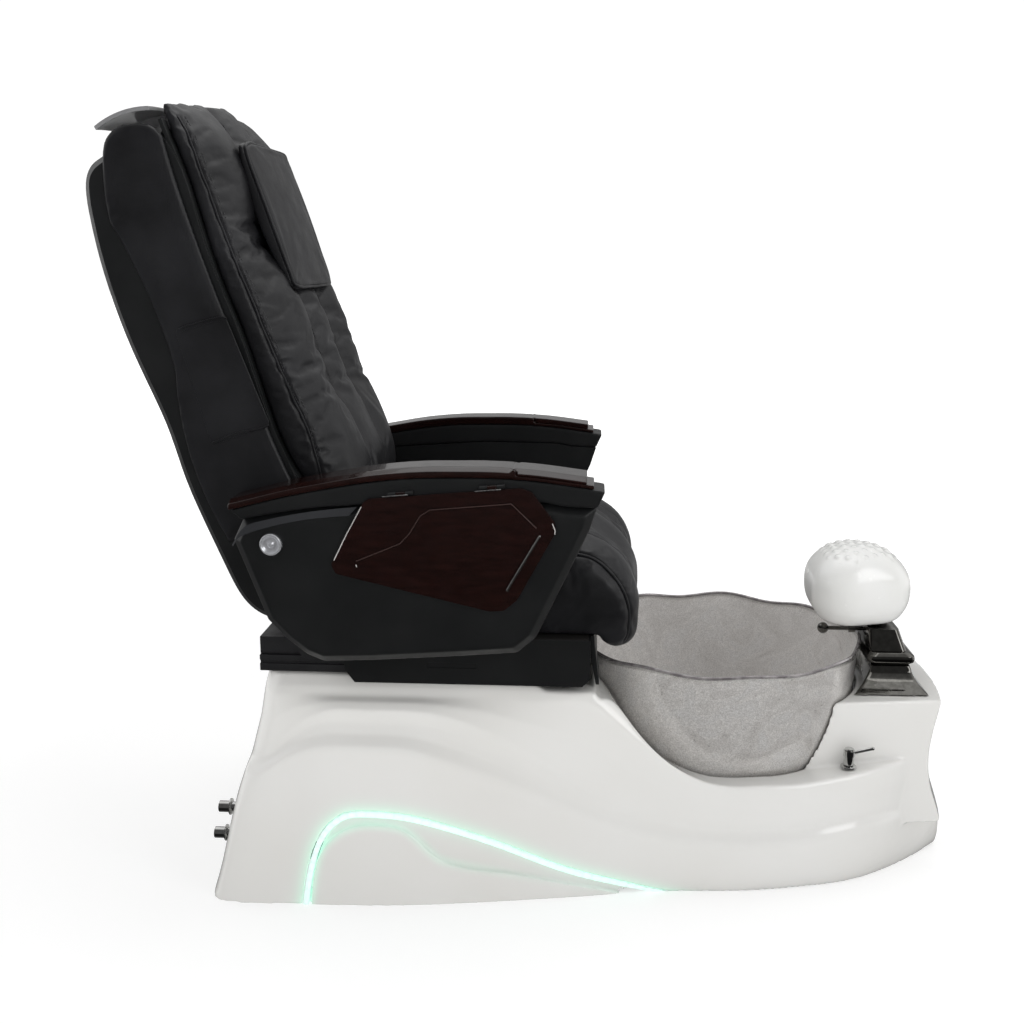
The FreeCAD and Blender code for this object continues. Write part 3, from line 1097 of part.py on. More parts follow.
def back_cushion(grow=0.0):
    """Back cushion: two bolsters beside a centre channel, drawn in at both sides."""
    def section(x, z, lean, half, edge, bolster, centre):
        half += grow
        out = V(math.cos(math.radians(lean)), 0, math.sin(math.radians(lean)))

        def at(depth, y):
            return V(x, 0, z) + out * depth + V(0, y, 0)

        seam = half * 0.3
        crest = half * 0.66
        left = [at(-grow, -half + 8), at(edge * 0.5, -half), at(edge, -half + 10), at(bolster, -crest),
                at(centre, -seam)]
        right = [at(centre, seam), at(bolster, crest), at(edge, half - 10), at(edge * 0.5, half),
                 at(-grow, half - 8)]
        middle = at(centre + 9, 0)
        return Part.Wire([Part.Arc(left[0], left[1], left[2]).toShape(),
                          Part.Arc(left[2], left[3], left[4]).toShape(),
                          Part.Arc(left[4], middle, right[0]).toShape(),
                          Part.Arc(right[0], right[1], right[2]).toShape(),
                          Part.Arc(right[2], right[3], right[4]).toShape(),
                          Part.makeLine(right[4], left[0])])

    return Part.makeLoft([section(*station) for station in CUSHION_STATIONS], True, False)


def arc_chain(points):
    """Arcs through points taken as end, middle, end, middle and so on."""
    return [Part.Arc(points[i], points[i + 1], points[i + 2]).toShape() for i in range(0, len(points) - 2, 2)]


def side_pad():
    """Padded side panel of the back, with its rounded outer edge."""
    def section(y, inset):
        centre = (sum(x for x, _ in SIDE_PAD) / len(SIDE_PAD), sum(z for _, z in SIDE_PAD) / len(SIDE_PAD))
        points = []
        for x, z in SIDE_PAD:
            length = math.hypot(x - centre[0], z - centre[1])
            points.append(V(x - (x - centre[0]) / length * inset, y, z - (z - centre[1]) / length * inset))
        edges = arc_chain(points)
        return Part.Wire(edges + [Part.makeLine(points[-1], points[0])])

    inner = -SHELL_HALF - SEAT_GAP
    return Part.makeLoft([section(inner, 0), section(inner - 6, 0), section(-SIDE_OUT, SIDE_ROUND)], True, True)


def head_pillow():
    """Head pillow: thick in the middle, thin piped edges, lying on the back cushion."""
    def section(y, thick, lift):
        rear_top, rear_bottom = V(*PILLOW_TOP), V(*PILLOW_BOTTOM)
        along = (rear_bottom - rear_top).normalize()
        out = V(-along.z, 0, along.x)
        span = (rear_bottom - rear_top).Length - lift

        def at(distance, depth):
            return rear_top + along * distance + out * depth + V(0, y, 0)

        p = [at(lift, 0), at(1 + lift, thick * 0.45), at(12 + lift, thick * 0.8), at(span * 0.5, thick),
             at(span - 18, thick * 0.86), at(span - 3, thick * 0.5), at(span, 0), at(span * 0.5, -PILLOW_BOW)]
        return Part.Wire([Part.Arc(p[0], p[1], p[2]).toShape(), Part.Arc(p[2], p[3], p[4]).toShape(),
                          Part.Arc(p[4], p[5], p[6]).toShape(), Part.Arc(p[6], p[7], p[0]).toShape()])

    stations = [(-1.0, 10, 6), (-0.9, 20, 2), (-0.5, 28, 0), (0.0, 32, 0)]
    stations += [(-place, thick, lift) for place, thick, lift in reversed(stations[:-1])]
    return Part.makeLoft([section(place * PILLOW_HALF, thick, lift) for place, thick, lift in stations],
                         True, False)


def back_soft_pieces():
    pad = side_pad()
    pocket = plate(rounded(side_points(POCKET_OUTLINE), 10),
                   (-SIDE_OUT - SEAT_GAP - POCKET_THICKNESS, -SIDE_OUT - SEAT_GAP))
    return {"back_cushion": back_cushion(), "side_pad_right": pad, "side_pad_left": mirrored(pad),
            "side_pocket_right": pocket, "side_pocket_left": mirrored(pocket), "head_pillow": head_pillow()}


def shrunk(outline, distance):
    """Side view polygon, given clockwise or not, with every side moved inwards by the distance."""
    count = len(outline)
    area = sum(outline[i - 1][0] * outline[i][1] - outline[i][0] * outline[i - 1][1] for i in range(count))
    inward = distance if area > 0 else -distance
    sides = []
    for i in range(count):
        (x0, z0), (x1, z1) = outline[i - 1], outline[i]
        length = math.hypot(x1 - x0, z1 - z0)
        along = ((x1 - x0) / length, (z1 - z0) / length)
        sides.append((x0 - along[1] * inward, z0 + along[0] * inward, along[0], along[1]))
    corners = []
    for i in range(count):
        x0, z0, u0, w0 = sides[i]
        x1, z1, u1, w1 = sides[(i + 1) % count]
        step = ((x1 - x0) * w1 - (z1 - z0) * u1) / (u0 * w1 - w0 * u1)
        corners.append((x0 + u0 * step, z0 + w0 * step))
    return corners


def cap_height(x):
    """Height of the armrest beam's top."""
    return smooth(BEAM_TOP, x)


def arm_pieces():
    """Right arm: faceted shell and liner, beam, glossy top, pivot, tray hinges, tray and lid."""
    outline = [(x, z - SEAT_GAP) for x, z in BEAM_BOTTOM] + ARM_OUTLINE
    bush_hole = rod(V(PIVOT_X, -ARM_OUT - 20, PIVOT_Z), V(PIVOT_X, -ARM_IN + 20, PIVOT_Z), BUSH_RADIUS)

    def skin(inset, inner):
        wires = [polygon(side_points(shrunk(outline, inset), inner)),
                 polygon(side_points(shrunk(outline, inset), -ARM_OUT + ARM_BEVEL + inset / 2)),
                 polygon(side_points(shrunk(outline, inset + ARM_BEVEL), -ARM_OUT + inset))]
        return Part.makeLoft(wires, True, True)

    shell = skin(0, -ARM_IN - ARM_WALL).cut(skin(ARM_WALL, -ARM_IN)).cut(bush_hole)
    liner = plate(polygon(side_points(outline)), (-ARM_IN - ARM_WALL + SEAT_GAP, -ARM_IN)).cut(bush_hole)

    def height_line(x0, x1, rise):
        xs = [x0 + (x1 - x0) * i / 10 for i in range(11)]
        return spline(side_points([(x, cap_height(x) + rise) for x in xs]))

    def top_strip(x0, x1, low, high, y):
        across, drop = CAP_SLOPE
        wires = []
        for place, rise in ((y[0], high - drop), (y[0] + across, high), (y[1], high)):
            wire = closed_wire(height_line(x0, x1, low), height_line(x1, x0, max(rise, low + 1)))
            wire.translate(V(0, place, 0))
            wires.append(wire)
        return Part.makeLoft(wires, True, True)

    under = side_points(BEAM_BOTTOM)
    beam_wire = closed_wire(height_line(BEAM_TOP[0][0], BEAM_TOP[-1][0], 0),
                            *[Part.makeLine(p, q) for p, q in zip(under, under[1:])])
    beam = plate(beam_wire, (-ARM_OUT, -ARM_IN))
    cup_y = -(ARM_IN + ARM_OUT) / 2
    cup = V(CUP_X, cup_y, cap_height(CUP_X))
    cup_hole = rod(cup - V(0, 0, CUP_DEPTH), cup + V(0, 0, 60), CUP_RADIUS)
    beam = beam.cut(cup_hole)

    width = (-ARM_OUT - CAP_OVERHANG, -ARM_IN + CAP_OVERHANG)
    top = top_strip(CAP_REAR, LID_REAR, SEAT_GAP, CAP_RISE, width)
    low_rise = CAP_RISE - LID_THICKNESS - SEAT_GAP
    top = top.fuse(plate(closed_wire(height_line(LID_REAR - 0.01, LID_FRONT + 12, SEAT_GAP),
                                     height_line(LID_FRONT + 12, LID_REAR - 0.01, low_rise)), width))
    hinge = V(LID_REAR + 3.5, 0, cap_height(LID_REAR) + CAP_RISE - 3)
    for y in ((width[0], width[0] + 6), (width[1] - 6, width[1])):
        ear = rod(hinge + V(0, y[0], 0), hinge + V(0, y[1], 0), 3)
        top = top.fuse(ear).fuse(box((LID_REAR - 1, hinge.x + 3), y, (hinge.z - 9, hinge.z)))
    top = top.fuse(rod(hinge + V(0, width[0], 0), hinge + V(0, width[1], 0), LID_PIN)).cut(cup_hole)

    lid_y = (width[0] + 6 + SEAT_GAP, width[1] - 6 - SEAT_GAP)
    lid = top_strip(hinge.x, LID_FRONT, CAP_RISE - LID_THICKNESS, CAP_RISE, width)
    for y in ((width[0] - 1, lid_y[0]), (lid_y[1], width[1] + 1)):
        lid = lid.cut(box((hinge.x - 1, hinge.x + 6), y, (hinge.z - 20, hinge.z + 20)))
    lid = lid.fuse(rod(hinge + V(0, lid_y[0], 0), hinge + V(0, lid_y[1], 0), 3))
    lid = lid.cut(rod(hinge + V(0, -500, 0), hinge + V(0, 500, 0), LID_PIN + RUNNING_GAP))

    bush = tube(V(PIVOT_X, -ARM_OUT + ARM_WALL, PIVOT_Z), V(PIVOT_X, -ARM_IN, PIVOT_Z),
                BUSH_RADIUS - SEAT_GAP, PIVOT_PIN + RUNNING_GAP)
    cap_face = -ARM_OUT - PIVOT_CAP_HEIGHT
    cap = rod(V(PIVOT_X, cap_face, PIVOT_Z), V(PIVOT_X, -ARM_OUT, PIVOT_Z), PIVOT_CAP)
    cap = cap.fuse(rod(V(PIVOT_X, -ARM_OUT, PIVOT_Z), V(PIVOT_X, -ARM_OUT + ARM_WALL, PIVOT_Z),
                       BUSH_RADIUS - SEAT_GAP))
    dish = Part.makeSphere(26, V(PIVOT_X, cap_face - 21, PIVOT_Z))
    pivot = cap.cut(dish).fuse(bush)

    hinges, tray = tray_pieces()
    return {"arm_shell": shell, "arm_liner": liner, "arm_beam": beam, "arm_top": top, "cup_lid": lid,
            "arm_pivot": pivot, "tray_hinges": hinges, "side_tray": tray}


def tray_pieces():
    """Side tray that hangs on two hinges from the beam, with its pull bar."""
    (x0, z0), (x1, z1) = TRAY_HINGE
    slope = -math.degrees(math.atan2(z1 - z0, x1 - x0))
    length = math.hypot(x1 - x0, z1 - z0)
    axis_y = -TRAY_AXIS_Y

    def place(shape):
        shape.rotate(ORIGIN, Y_AXIS, slope)
        shape.translate(V(x0, axis_y, z0))
        return shape

    inner = -(ARM_OUT + TRAY_GAP)
    tray = plate(rounded(side_points(TRAY_OUTLINE), 9), (inner - TRAY_THICKNESS, inner))
    hinges = []
    for centre in (0.21 * length, 0.82 * length):
        leaf = box((centre - 21, centre + 21), (-axis_y - ARM_OUT - 1.2, -axis_y - ARM_OUT), (-1, 9))
        parts = [leaf, rod(V(centre - 21, 0, 0), V(centre + 21, 0, 0), HINGE_WIRE)]
        for low, high in ((centre - 21, centre - 8), (centre + 8, centre + 21)):
            parts.append(rod(V(low, 0, 0), V(high, 0, 0), HINGE_BARREL))
            parts.append(box((low, high), (0, -axis_y - ARM_OUT), (1, 3)))
        hinges.append(place(fused(*parts)))
        knuckle = rod(V(centre - 8 + SEAT_GAP, 0, 0), V(centre + 8 - SEAT_GAP, 0, 0), HINGE_BARREL)
        web = box((centre - 8 + SEAT_GAP, centre + 8 - SEAT_GAP), (-0.6, 2.4), (-9, 0))
        hole = rod(V(centre - 10, 0, 0), V(centre + 10, 0, 0), HINGE_WIRE + RUNNING_GAP)
        tray = tray.fuse(place(knuckle.fuse(web))).cut(place(hole))
    face_y = inner - TRAY_THICKNESS
    bar = rod(V(PULL_BAR[0][0], face_y - 1.2, PULL_BAR[0][1]), V(PULL_BAR[1][0], face_y - 1.2, PULL_BAR[1][1]), 1.8)
    return Part.makeCompound(hinges), tray.fuse(bar)


def main():
    """Builds every piece and writes one file for each."""
    pieces = {}
    for group in (base_pieces, bowl_pieces, rear_fittings, base_frame, spout_pieces, footrest_pieces,
                  valve_pieces, slide_pieces, seat_pieces, recline_pieces, back_frame_pieces,
                  massage_pieces, back_covers, back_soft_pieces):
        pieces.update(group())
    for name, shape in arm_pieces().items():
        pieces[name + "_right"] = shape
        pieces[name + "_left"] = mirrored(shape)
    for name, shape in pieces.items():
        shape.exportStep("parts/%s.step" % name)


if __name__ == "__main__":
    main()
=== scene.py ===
import json
import math

import bmesh
import bpy
import numpy as np
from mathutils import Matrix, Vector, noise
from mathutils.bvhtree import BVHTree


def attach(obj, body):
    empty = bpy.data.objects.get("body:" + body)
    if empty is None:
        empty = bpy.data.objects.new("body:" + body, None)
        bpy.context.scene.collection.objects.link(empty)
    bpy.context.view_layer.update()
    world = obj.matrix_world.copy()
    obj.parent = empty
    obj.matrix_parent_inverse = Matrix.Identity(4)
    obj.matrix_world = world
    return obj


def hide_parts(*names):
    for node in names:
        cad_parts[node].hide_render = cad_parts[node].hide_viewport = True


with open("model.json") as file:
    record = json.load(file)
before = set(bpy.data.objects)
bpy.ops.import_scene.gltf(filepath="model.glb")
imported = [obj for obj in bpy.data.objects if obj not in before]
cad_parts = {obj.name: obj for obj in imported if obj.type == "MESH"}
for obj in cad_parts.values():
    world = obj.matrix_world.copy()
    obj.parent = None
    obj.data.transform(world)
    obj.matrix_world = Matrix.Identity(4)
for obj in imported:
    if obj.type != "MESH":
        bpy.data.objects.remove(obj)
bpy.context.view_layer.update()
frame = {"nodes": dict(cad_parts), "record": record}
nodes = frame["nodes"]
scene = bpy.context.scene

# Sizes that the frame's parts have: single lengths in metres, outlines in millimetres
MM = 0.001
SEAT_HALF = 0.262
PILLOW_HALF = 0.158
BOWL_X = 0.328
BOWL_WALL = 0.005
BOWL_PROFILE = [(104, 152), (112, 176), (132, 204), (172, 238), (225, 254), (290, 266), (360, 272),
                (405, 277)]
BOWL_WAVES = 9
BOWL_WAVE = 0.004
BOWL_WAVE_START = 0.290
ARCH_LINE = [(-432, -30), (-427, 6), (-413, 84), (-396, 127), (-373, 156), (-346, 171), (-311, 174),
             (-249, 170), (-170, 150), (-74, 116), (31, 70), (138, 32), (212, 5), (290, -24)]
BULGE_LINE = [(-414, -30), (-412, 20), (-397, 92), (-369, 127), (-334, 145), (-299, 149),
              (-253, 143), (-226, 126), (-197, 97), (-171, 80), (-74, 58), (30, 34), (110, 12),
              (180, -24)]
CUSHION_STATIONS = [(-401, 664, 24, 236), (-440, 762, 23, 252), (-488, 880, 20, 257),
                    (-524, 1000, 19, 258), (-550, 1070, 18, 258), (-588, 1190, 15, 257),
                    (-622, 1300, 16, 254), (-644, 1358, 22, 250), (-654, 1382, 34, 240)]


# Mesh helpers

def link(name, mesh):
    """New object with this mesh, in the scene."""
    obj = bpy.data.objects.new(name, mesh)
    scene.collection.objects.link(obj)
    return obj


def mesh_of(name, points, faces):
    """New smooth-shaded object from points and faces."""
    mesh = bpy.data.meshes.new(name)
    mesh.from_pydata([tuple(p) for p in points], [], [tuple(int(i) for i in f) for f in faces])
    mesh.update()
    mesh.shade_smooth()
    return link(name, mesh)


def coordinates(obj):
    """Vertex positions as an array."""
    values = np.zeros(len(obj.data.vertices) * 3)
    obj.data.vertices.foreach_get("co", values)
    return values.reshape(-1, 3)


def set_coordinates(obj, points):
    obj.data.vertices.foreach_set("co", np.asarray(points, float).ravel())
    obj.data.update()


def normals(obj):
    """Vertex normals as an array."""
    values = np.zeros(len(obj.data.vertices) * 3)
    obj.data.vertex_normals.foreach_get("vector", values)
    return values.reshape(-1, 3)


def settle(obj):
    """Replace the object's mesh by what its modifiers make of it."""
    bpy.context.view_layer.update()
    graph = bpy.context.evaluated_depsgraph_get()
    mesh = bpy.data.meshes.new_from_object(obj.evaluated_get(graph))
    obj.modifiers.clear()
    obj.data = mesh
    return obj


def modifier(obj, kind, **values):
    """Add one modifier with its settings."""
    made = obj.modifiers.new(kind.lower(), kind)
    for key, value in values.items():
        setattr(made, key, value)
    return made


def node_copy(node, name):
    """Welded copy of a frame node's mesh, without its materials."""
    mesh = nodes[node].data.copy()
    mesh.materials.clear()
    work = bmesh.new()
    work.from_mesh(mesh)
    bmesh.ops.remove_doubles(work, verts=work.verts, dist=1e-6)
    work.to_mesh(mesh)
    work.free()
    if mesh.has_custom_normals:
        mesh.attributes.remove(mesh.attributes["custom_normal"])
    mesh.shade_smooth()
    return link(name, mesh)


def rounded_copy(node, name, voxel, passes):
    """Copy of a node with all its edges rounded by an even remesh and smoothing."""
    obj = node_copy(node, name)
    modifier(obj, "REMESH", mode="VOXEL", voxel_size=voxel, use_smooth_shade=True)
    modifier(obj, "SMOOTH", factor=0.5, iterations=passes)
    return settle(obj)


def softened(node, name, width, segments=2, angle=26):
    """Copy of a node with small rounded edges."""
    obj = node_copy(node, name)
    modifier(obj, "DECIMATE", decimate_type="DISSOLVE", angle_limit=math.radians(0.4))
    modifier(obj, "BEVEL", width=width, segments=segments, limit_method="ANGLE",
             angle_limit=math.radians(angle), harden_normals=False)
    settle(obj)
    obj.data.shade_smooth()
    modifier(obj, "WEIGHTED_NORMAL", keep_sharp=True, weight=80)
    return settle(obj)


def through(points, step):
    """Points every step along a smooth curve through the given ones."""
    points = [np.asarray(p, float) for p in points]
    ends = [2 * points[0] - points[1]] + points + [2 * points[-1] - points[-2]]
    line = []
    for a, b, c, d in zip(ends, ends[1:], ends[2:], ends[3:]):
        count = max(1, int(round(np.linalg.norm(c - b) / step)))
        for i in range(count):
            t = i / count
            line.append(0.5 * (2 * b + (c - a) * t + (2 * a - 5 * b + 4 * c - d) * t ** 2
                               + (3 * b - a - 3 * c + d) * t ** 3))
    line.append(points[-1])
    return np.array(line)


def tube(name, line, radius, sides=10, closed=False, flat=1.0):
    """Round or slightly flat tube along a line, with rounded ends."""
    line = np.asarray(line, float)
    count = len(line)
    if closed:
        tangents = np.roll(line, -1, 0) - np.roll(line, 1, 0)
    else:
        tangents = np.gradient(line, axis=0)
    tangents /= np.linalg.norm(tangents, axis=1)[:, None] + 1e-12
    side = np.cross(tangents[0], (0.31, 0.17, 0.93))
    rings, sizes = [], []
    for i in range(count):
        side = side - tangents[i] * side.dot(tangents[i])
        side /= np.linalg.norm(side) + 1e-12
        rings.append((line[i], side.copy(), np.cross(tangents[i], side)))
        sizes.append(radius)
    if not closed:
        for end, sign in ((0, -1), (-1, 1)):
            place, a, b = rings[end]
            extra = [(place + sign * tangents[end] * radius * 0.6, a, b, radius * 0.75),
                     (place + sign * tangents[end] * radius * 0.95, a, b, radius * 0.2)]
            for p, u, v, size in extra:
                if end == 0:
                    rings.insert(0, (p, u, v))
                    sizes.insert(0, size)
                else:
                    rings.append((p, u, v))
                    sizes.append(size)
    points = []
    for (place, a, b), size in zip(rings, sizes):
        for k in range(sides):
            turn = 2 * math.pi * k / sides
            points.append(place + (a * math.cos(turn) + b * math.sin(turn) * flat) * size)
    total = len(rings)
    faces = []
    for i in range(total if closed else total - 1):
        j = (i + 1) % total
        for k in range(sides):
            m = (k + 1) % sides
            faces.append((i * sides + k, i * sides + m, j * sides + m, j * sides + k))
    if not closed:
        faces.append(tuple(range(sides))[::-1])
        faces.append(tuple((total - 1) * sides + k for k in range(sides)))
    return mesh_of(name, points, faces)


def joined(name, objects):
    """One object from several, whose own objects are removed."""
    work = bmesh.new()
    for obj in objects:
        work.from_mesh(obj.data)
    mesh = bpy.data.meshes.new(name)
    work.to_mesh(mesh)
    work.free()
    for obj in objects:
        bpy.data.objects.remove(obj)
    mesh.shade_smooth()
    return link(name, mesh)


def surface(obj):
    """Search tree of an object's faces."""
    graph = bpy.context.evaluated_depsgraph_get()
    return BVHTree.FromObject(obj, graph)


def laid(tree, line, lift, direction=None):
    """The line's points moved onto a surface, and then off it by the lift."""
    placed = []
    for p in line:
        found = None
        if direction is not None:
            ray = Vector(direction)
            found = tree.ray_cast(Vector(p) - ray * 0.3, ray, 0.6)
        if found is None or found[0] is None:
            found = tree.find_nearest(Vector(p))
        placed.append(np.array(found[0] + found[1] * lift))
    return np.array(placed)


def evened(line, passes=3):
    """Line smoothed a little between its ends."""
    line = np.array(line, float)
    for _ in range(passes):
        line[1:-1] = (line[:-2] + 2 * line[1:-1] + line[2:]) / 4
    return line


def in_metres(outline, y):
    """Points of a side view outline in millimetres, set on a plane across Y in metres."""
    return [(x * MM, y, z * MM) for x, z in outline]


def stitches(name, line, pitch, length, radius):
    """Row of short thread stitches along a line."""
    line = np.asarray(line, float)
    lengths = np.concatenate([[0], np.cumsum(np.linalg.norm(np.diff(line, axis=0), axis=1))])
    pieces = []
    place = pitch / 2
    while place + length < lengths[-1]:
        ends = [np.array([np.interp(s, lengths, line[:, k]) for k in range(3)])
                for s in (place, place + length / 2, place + length)]
        pieces.append(tube(name, ends, radius, sides=5))
        place += pitch
    return joined(name, pieces)


STITCH_PITCH = 0.0075
STITCH_LENGTH = 0.0045
SEAM_HOLD = 0.0055                 # the cloth is held this near to its seams


def near_line(points, line):
    """Distance of each point to a polyline, and the length along it of the nearest place."""
    points = np.asarray(points, float)
    line = np.asarray(line, float)
    best = np.full(len(points), 1e9)
    along = np.zeros(len(points))
    run = 0.0
    for a, b in zip(line, line[1:]):
        d = b - a
        size = float(d.dot(d)) + 1e-18
        t = np.clip((points - a) @ d / size, 0, 1)
        gap = np.linalg.norm(points - (a + t[:, None] * d), axis=1)
        closer = gap < best
        best[closer] = gap[closer]
        along[closer] = run + t[closer] * math.sqrt(size)
        run += math.sqrt(size)
    return best, along


def pressed(obj, line, width, depth):
    """Groove of this width and depth pressed into the surface along a line."""
    points = coordinates(obj)
    gap, _ = near_line(points, line)
    fall = np.exp(-(gap / width) ** 2)
    set_coordinates(obj, points - normals(obj) * (depth * fall)[:, None])


def puckered(obj, line, reach, height, pitch, seed):
    """Short uneven wrinkles that run away from a seam line."""
    points = coordinates(obj)
    gap, along = near_line(points, line)
    amount = np.zeros(len(points))
    for i in np.flatnonzero(gap < reach * 3):
        phase = noise.noise(Vector((along[i] / pitch, gap[i] / (pitch * 4), seed)))
        broad = 0.6 + 0.6 * noise.noise(Vector((along[i] / (pitch * 5), seed, 2.7)))
        amount[i] = height * phase * max(0.0, broad) * math.exp(-(gap[i] / reach) ** 2)
    set_coordinates(obj, points + normals(obj) * amount[:, None])


def inflated(obj, held, pressure, cap, grow=0.0, frames=20):
    """Fill a cushion by a cloth simulation, with some of its points held."""
    start = coordinates(obj)
    group = obj.vertex_groups.new(name="held")
    group.add([int(i) for i in np.flatnonzero(held(start))], 1.0, "REPLACE")
    cloth = obj.modifiers.new("cloth", "CLOTH")
    leather = cloth.settings
    leather.quality = 5
    leather.mass = 0.3
    leather.tension_stiffness = 12
    leather.compression_stiffness = 12
    leather.shear_stiffness = 6
    leather.bending_stiffness = 1.5
    leather.use_pressure = True
    leather.uniform_pressure_force = pressure
    leather.shrink_min = -grow
    leather.effector_weights.gravity = 0
    leather.vertex_group_mass = "held"
    cloth.collision_settings.use_collision = False
    cloth.point_cache.frame_start = 1
    cloth.point_cache.frame_end = frames
    for number in range(1, frames + 1):
        scene.frame_set(number)
    graph = bpy.context.evaluated_depsgraph_get()
    values = np.zeros(len(start) * 3)
    obj.evaluated_get(graph).data.vertices.foreach_get("co", values)
    move = values.reshape(-1, 3) - start
    obj.modifiers.clear()
    obj.vertex_groups.clear()
    scene.frame_set(1)
    length = np.linalg.norm(move, axis=1)
    move *= (np.minimum(length, cap) / np.maximum(length, 1e-9))[:, None]
    set_coordinates(obj, start + move)
    return obj


def finer(obj, levels=1):
    modifier(obj, "SUBSURF", levels=levels, render_levels=levels)
    return settle(obj)


# Materials

class Look:
    """Principled material with procedural detail in the part's own coordinates."""

    def __init__(self, name, colour, roughness, metallic=0.0):
        self.material = bpy.data.materials.new(name)
        self.material.use_nodes = True
        self.tree = self.material.node_tree
        self.shader = self.tree.nodes["Principled BSDF"]
        self.shader.inputs["Base Color"].default_value = (*colour, 1)
        self.shader.inputs["Roughness"].default_value = roughness
        self.shader.inputs["Metallic"].default_value = metallic
        self.place = self.add("ShaderNodeTexCoord").outputs["Object"]
        self.normal = None

    def add(self, kind, **values):
        node = self.tree.nodes.new(kind)
        for key, value in values.items():
            setattr(node, key, value)
        return node

    def link(self, output, target):
        self.tree.links.new(output, target)

    def set(self, name, value):
        self.shader.inputs[name].default_value = value

    def noise(self, scale, detail=3.0, rough=0.5, stretch=(1, 1, 1), distort=0.0):
        """Noise of this many cells to the metre."""
        mapping = self.add("ShaderNodeMapping")
        mapping.inputs["Scale"].default_value = stretch
        self.link(self.place, mapping.inputs["Vector"])
        node = self.add("ShaderNodeTexNoise")
        node.inputs["Scale"].default_value = scale
        node.inputs["Detail"].default_value = detail
        node.inputs["Roughness"].default_value = rough
        node.inputs["Distortion"].default_value = distort
        self.link(mapping.outputs["Vector"], node.inputs["Vector"])
        return node.outputs["Fac"]

    def cells(self, scale):
        """Rounded cells, this many to the metre."""
        node = self.add("ShaderNodeTexVoronoi", feature="SMOOTH_F1")
        node.inputs["Scale"].default_value = scale
        self.link(self.place, node.inputs["Vector"])
        return node.outputs["Distance"]

    def ramp(self, value, *stops):
        """Colours (position, colour) along a value."""
        node = self.add("ShaderNodeValToRGB")
        ramp = node.color_ramp
        while len(ramp.elements) < len(stops):
            ramp.elements.new(0.5)
        for element, (position, colour) in zip(ramp.elements, stops):
            element.position = position
            element.color = (*colour, 1) if hasattr(colour, "__len__") else (colour, colour, colour, 1)
        self.link(value, node.inputs["Fac"])
        return node.outputs["Color"]

    def range(self, value, low, high, start=0.3, end=0.7):
        """A value mapped to another range."""
        node = self.add("ShaderNodeMapRange")
        node.inputs["From Min"].default_value = start
        node.inputs["From Max"].default_value = end
        node.inputs["To Min"].default_value = low
        node.inputs["To Max"].default_value = high
        self.link(value, node.inputs["Value"])
        return node.outputs["Result"]

    def colour(self, output):
        self.link(output, self.shader.inputs["Base Color"])

    def roughness(self, output):
        self.link(output, self.shader.inputs["Roughness"])

    def bump(self, height, strength, distance):
        """Add one more layer of relief."""
        node = self.add("ShaderNodeBump")
        node.inputs["Strength"].default_value = strength
        node.inputs["Distance"].default_value = distance
        self.link(height, node.inputs["Height"])
        if self.normal is not None:
            self.link(self.normal, node.inputs["Normal"])
        self.normal = node.outputs["Normal"]
        self.link(self.normal, self.shader.inputs["Normal"])

    def coat(self, weight, roughness):
        self.set("Coat Weight", weight)
        self.set("Coat Roughness", roughness)

    def glow(self, attribute, colour, strength):
        """Light that the surface gives off where its glow attribute is above nought."""
        node = self.add("ShaderNodeAttribute", attribute_name=attribute)
        scale = self.add("ShaderNodeMath", operation="MULTIPLY")
        scale.inputs[1].default_value = strength
        self.link(node.outputs["Fac"], scale.inputs[0])
        self.link(scale.outputs["Value"], self.shader.inputs["Emission Strength"])
        self.set("Emission Color", (*colour, 1))


def gelcoat_look():
    look = Look("gelcoat", (0.80, 0.79, 0.765), 0.16)
    clouds = look.noise(3.0, 2.0)
    look.colour(look.ramp(clouds, (0.3, (0.79, 0.78, 0.75)), (0.7, (0.83, 0.825, 0.805))))
    look.roughness(look.range(look.noise(14.0, 4.0), 0.10, 0.20))
    look.bump(look.noise(55.0, 2.0), 0.05, 0.002)
    look.coat(0.7, 0.03)
    # Green emission where the glow attribute is set: painted light standing in for the LED strip's spill on
    # the gelcoat
    look.glow("glow", (0.02, 1.0, 0.52), 0.26)
    return look.material


def footrest_look():
    look = Look("footrest_white", (0.84, 0.84, 0.82), 0.22)
    look.colour(look.ramp(look.noise(9.0, 3.0), (0.3, (0.81, 0.81, 0.785)), (0.7, (0.86, 0.86, 0.845))))
    look.roughness(look.range(look.noise(40.0, 4.0), 0.16, 0.28))
    look.bump(look.noise(260.0, 2.0), 0.06, 0.0008)
    look.coat(0.5, 0.05)
    return look.material


def led_look():
    look = Look("led_diffuser", (0.80, 0.92, 0.87), 0.35)
    look.bump(look.noise(400.0, 1.0), 0.1, 0.0005)
    look.glow("glow", (0.60, 1.0, 0.90), 0.42)
    return look.material


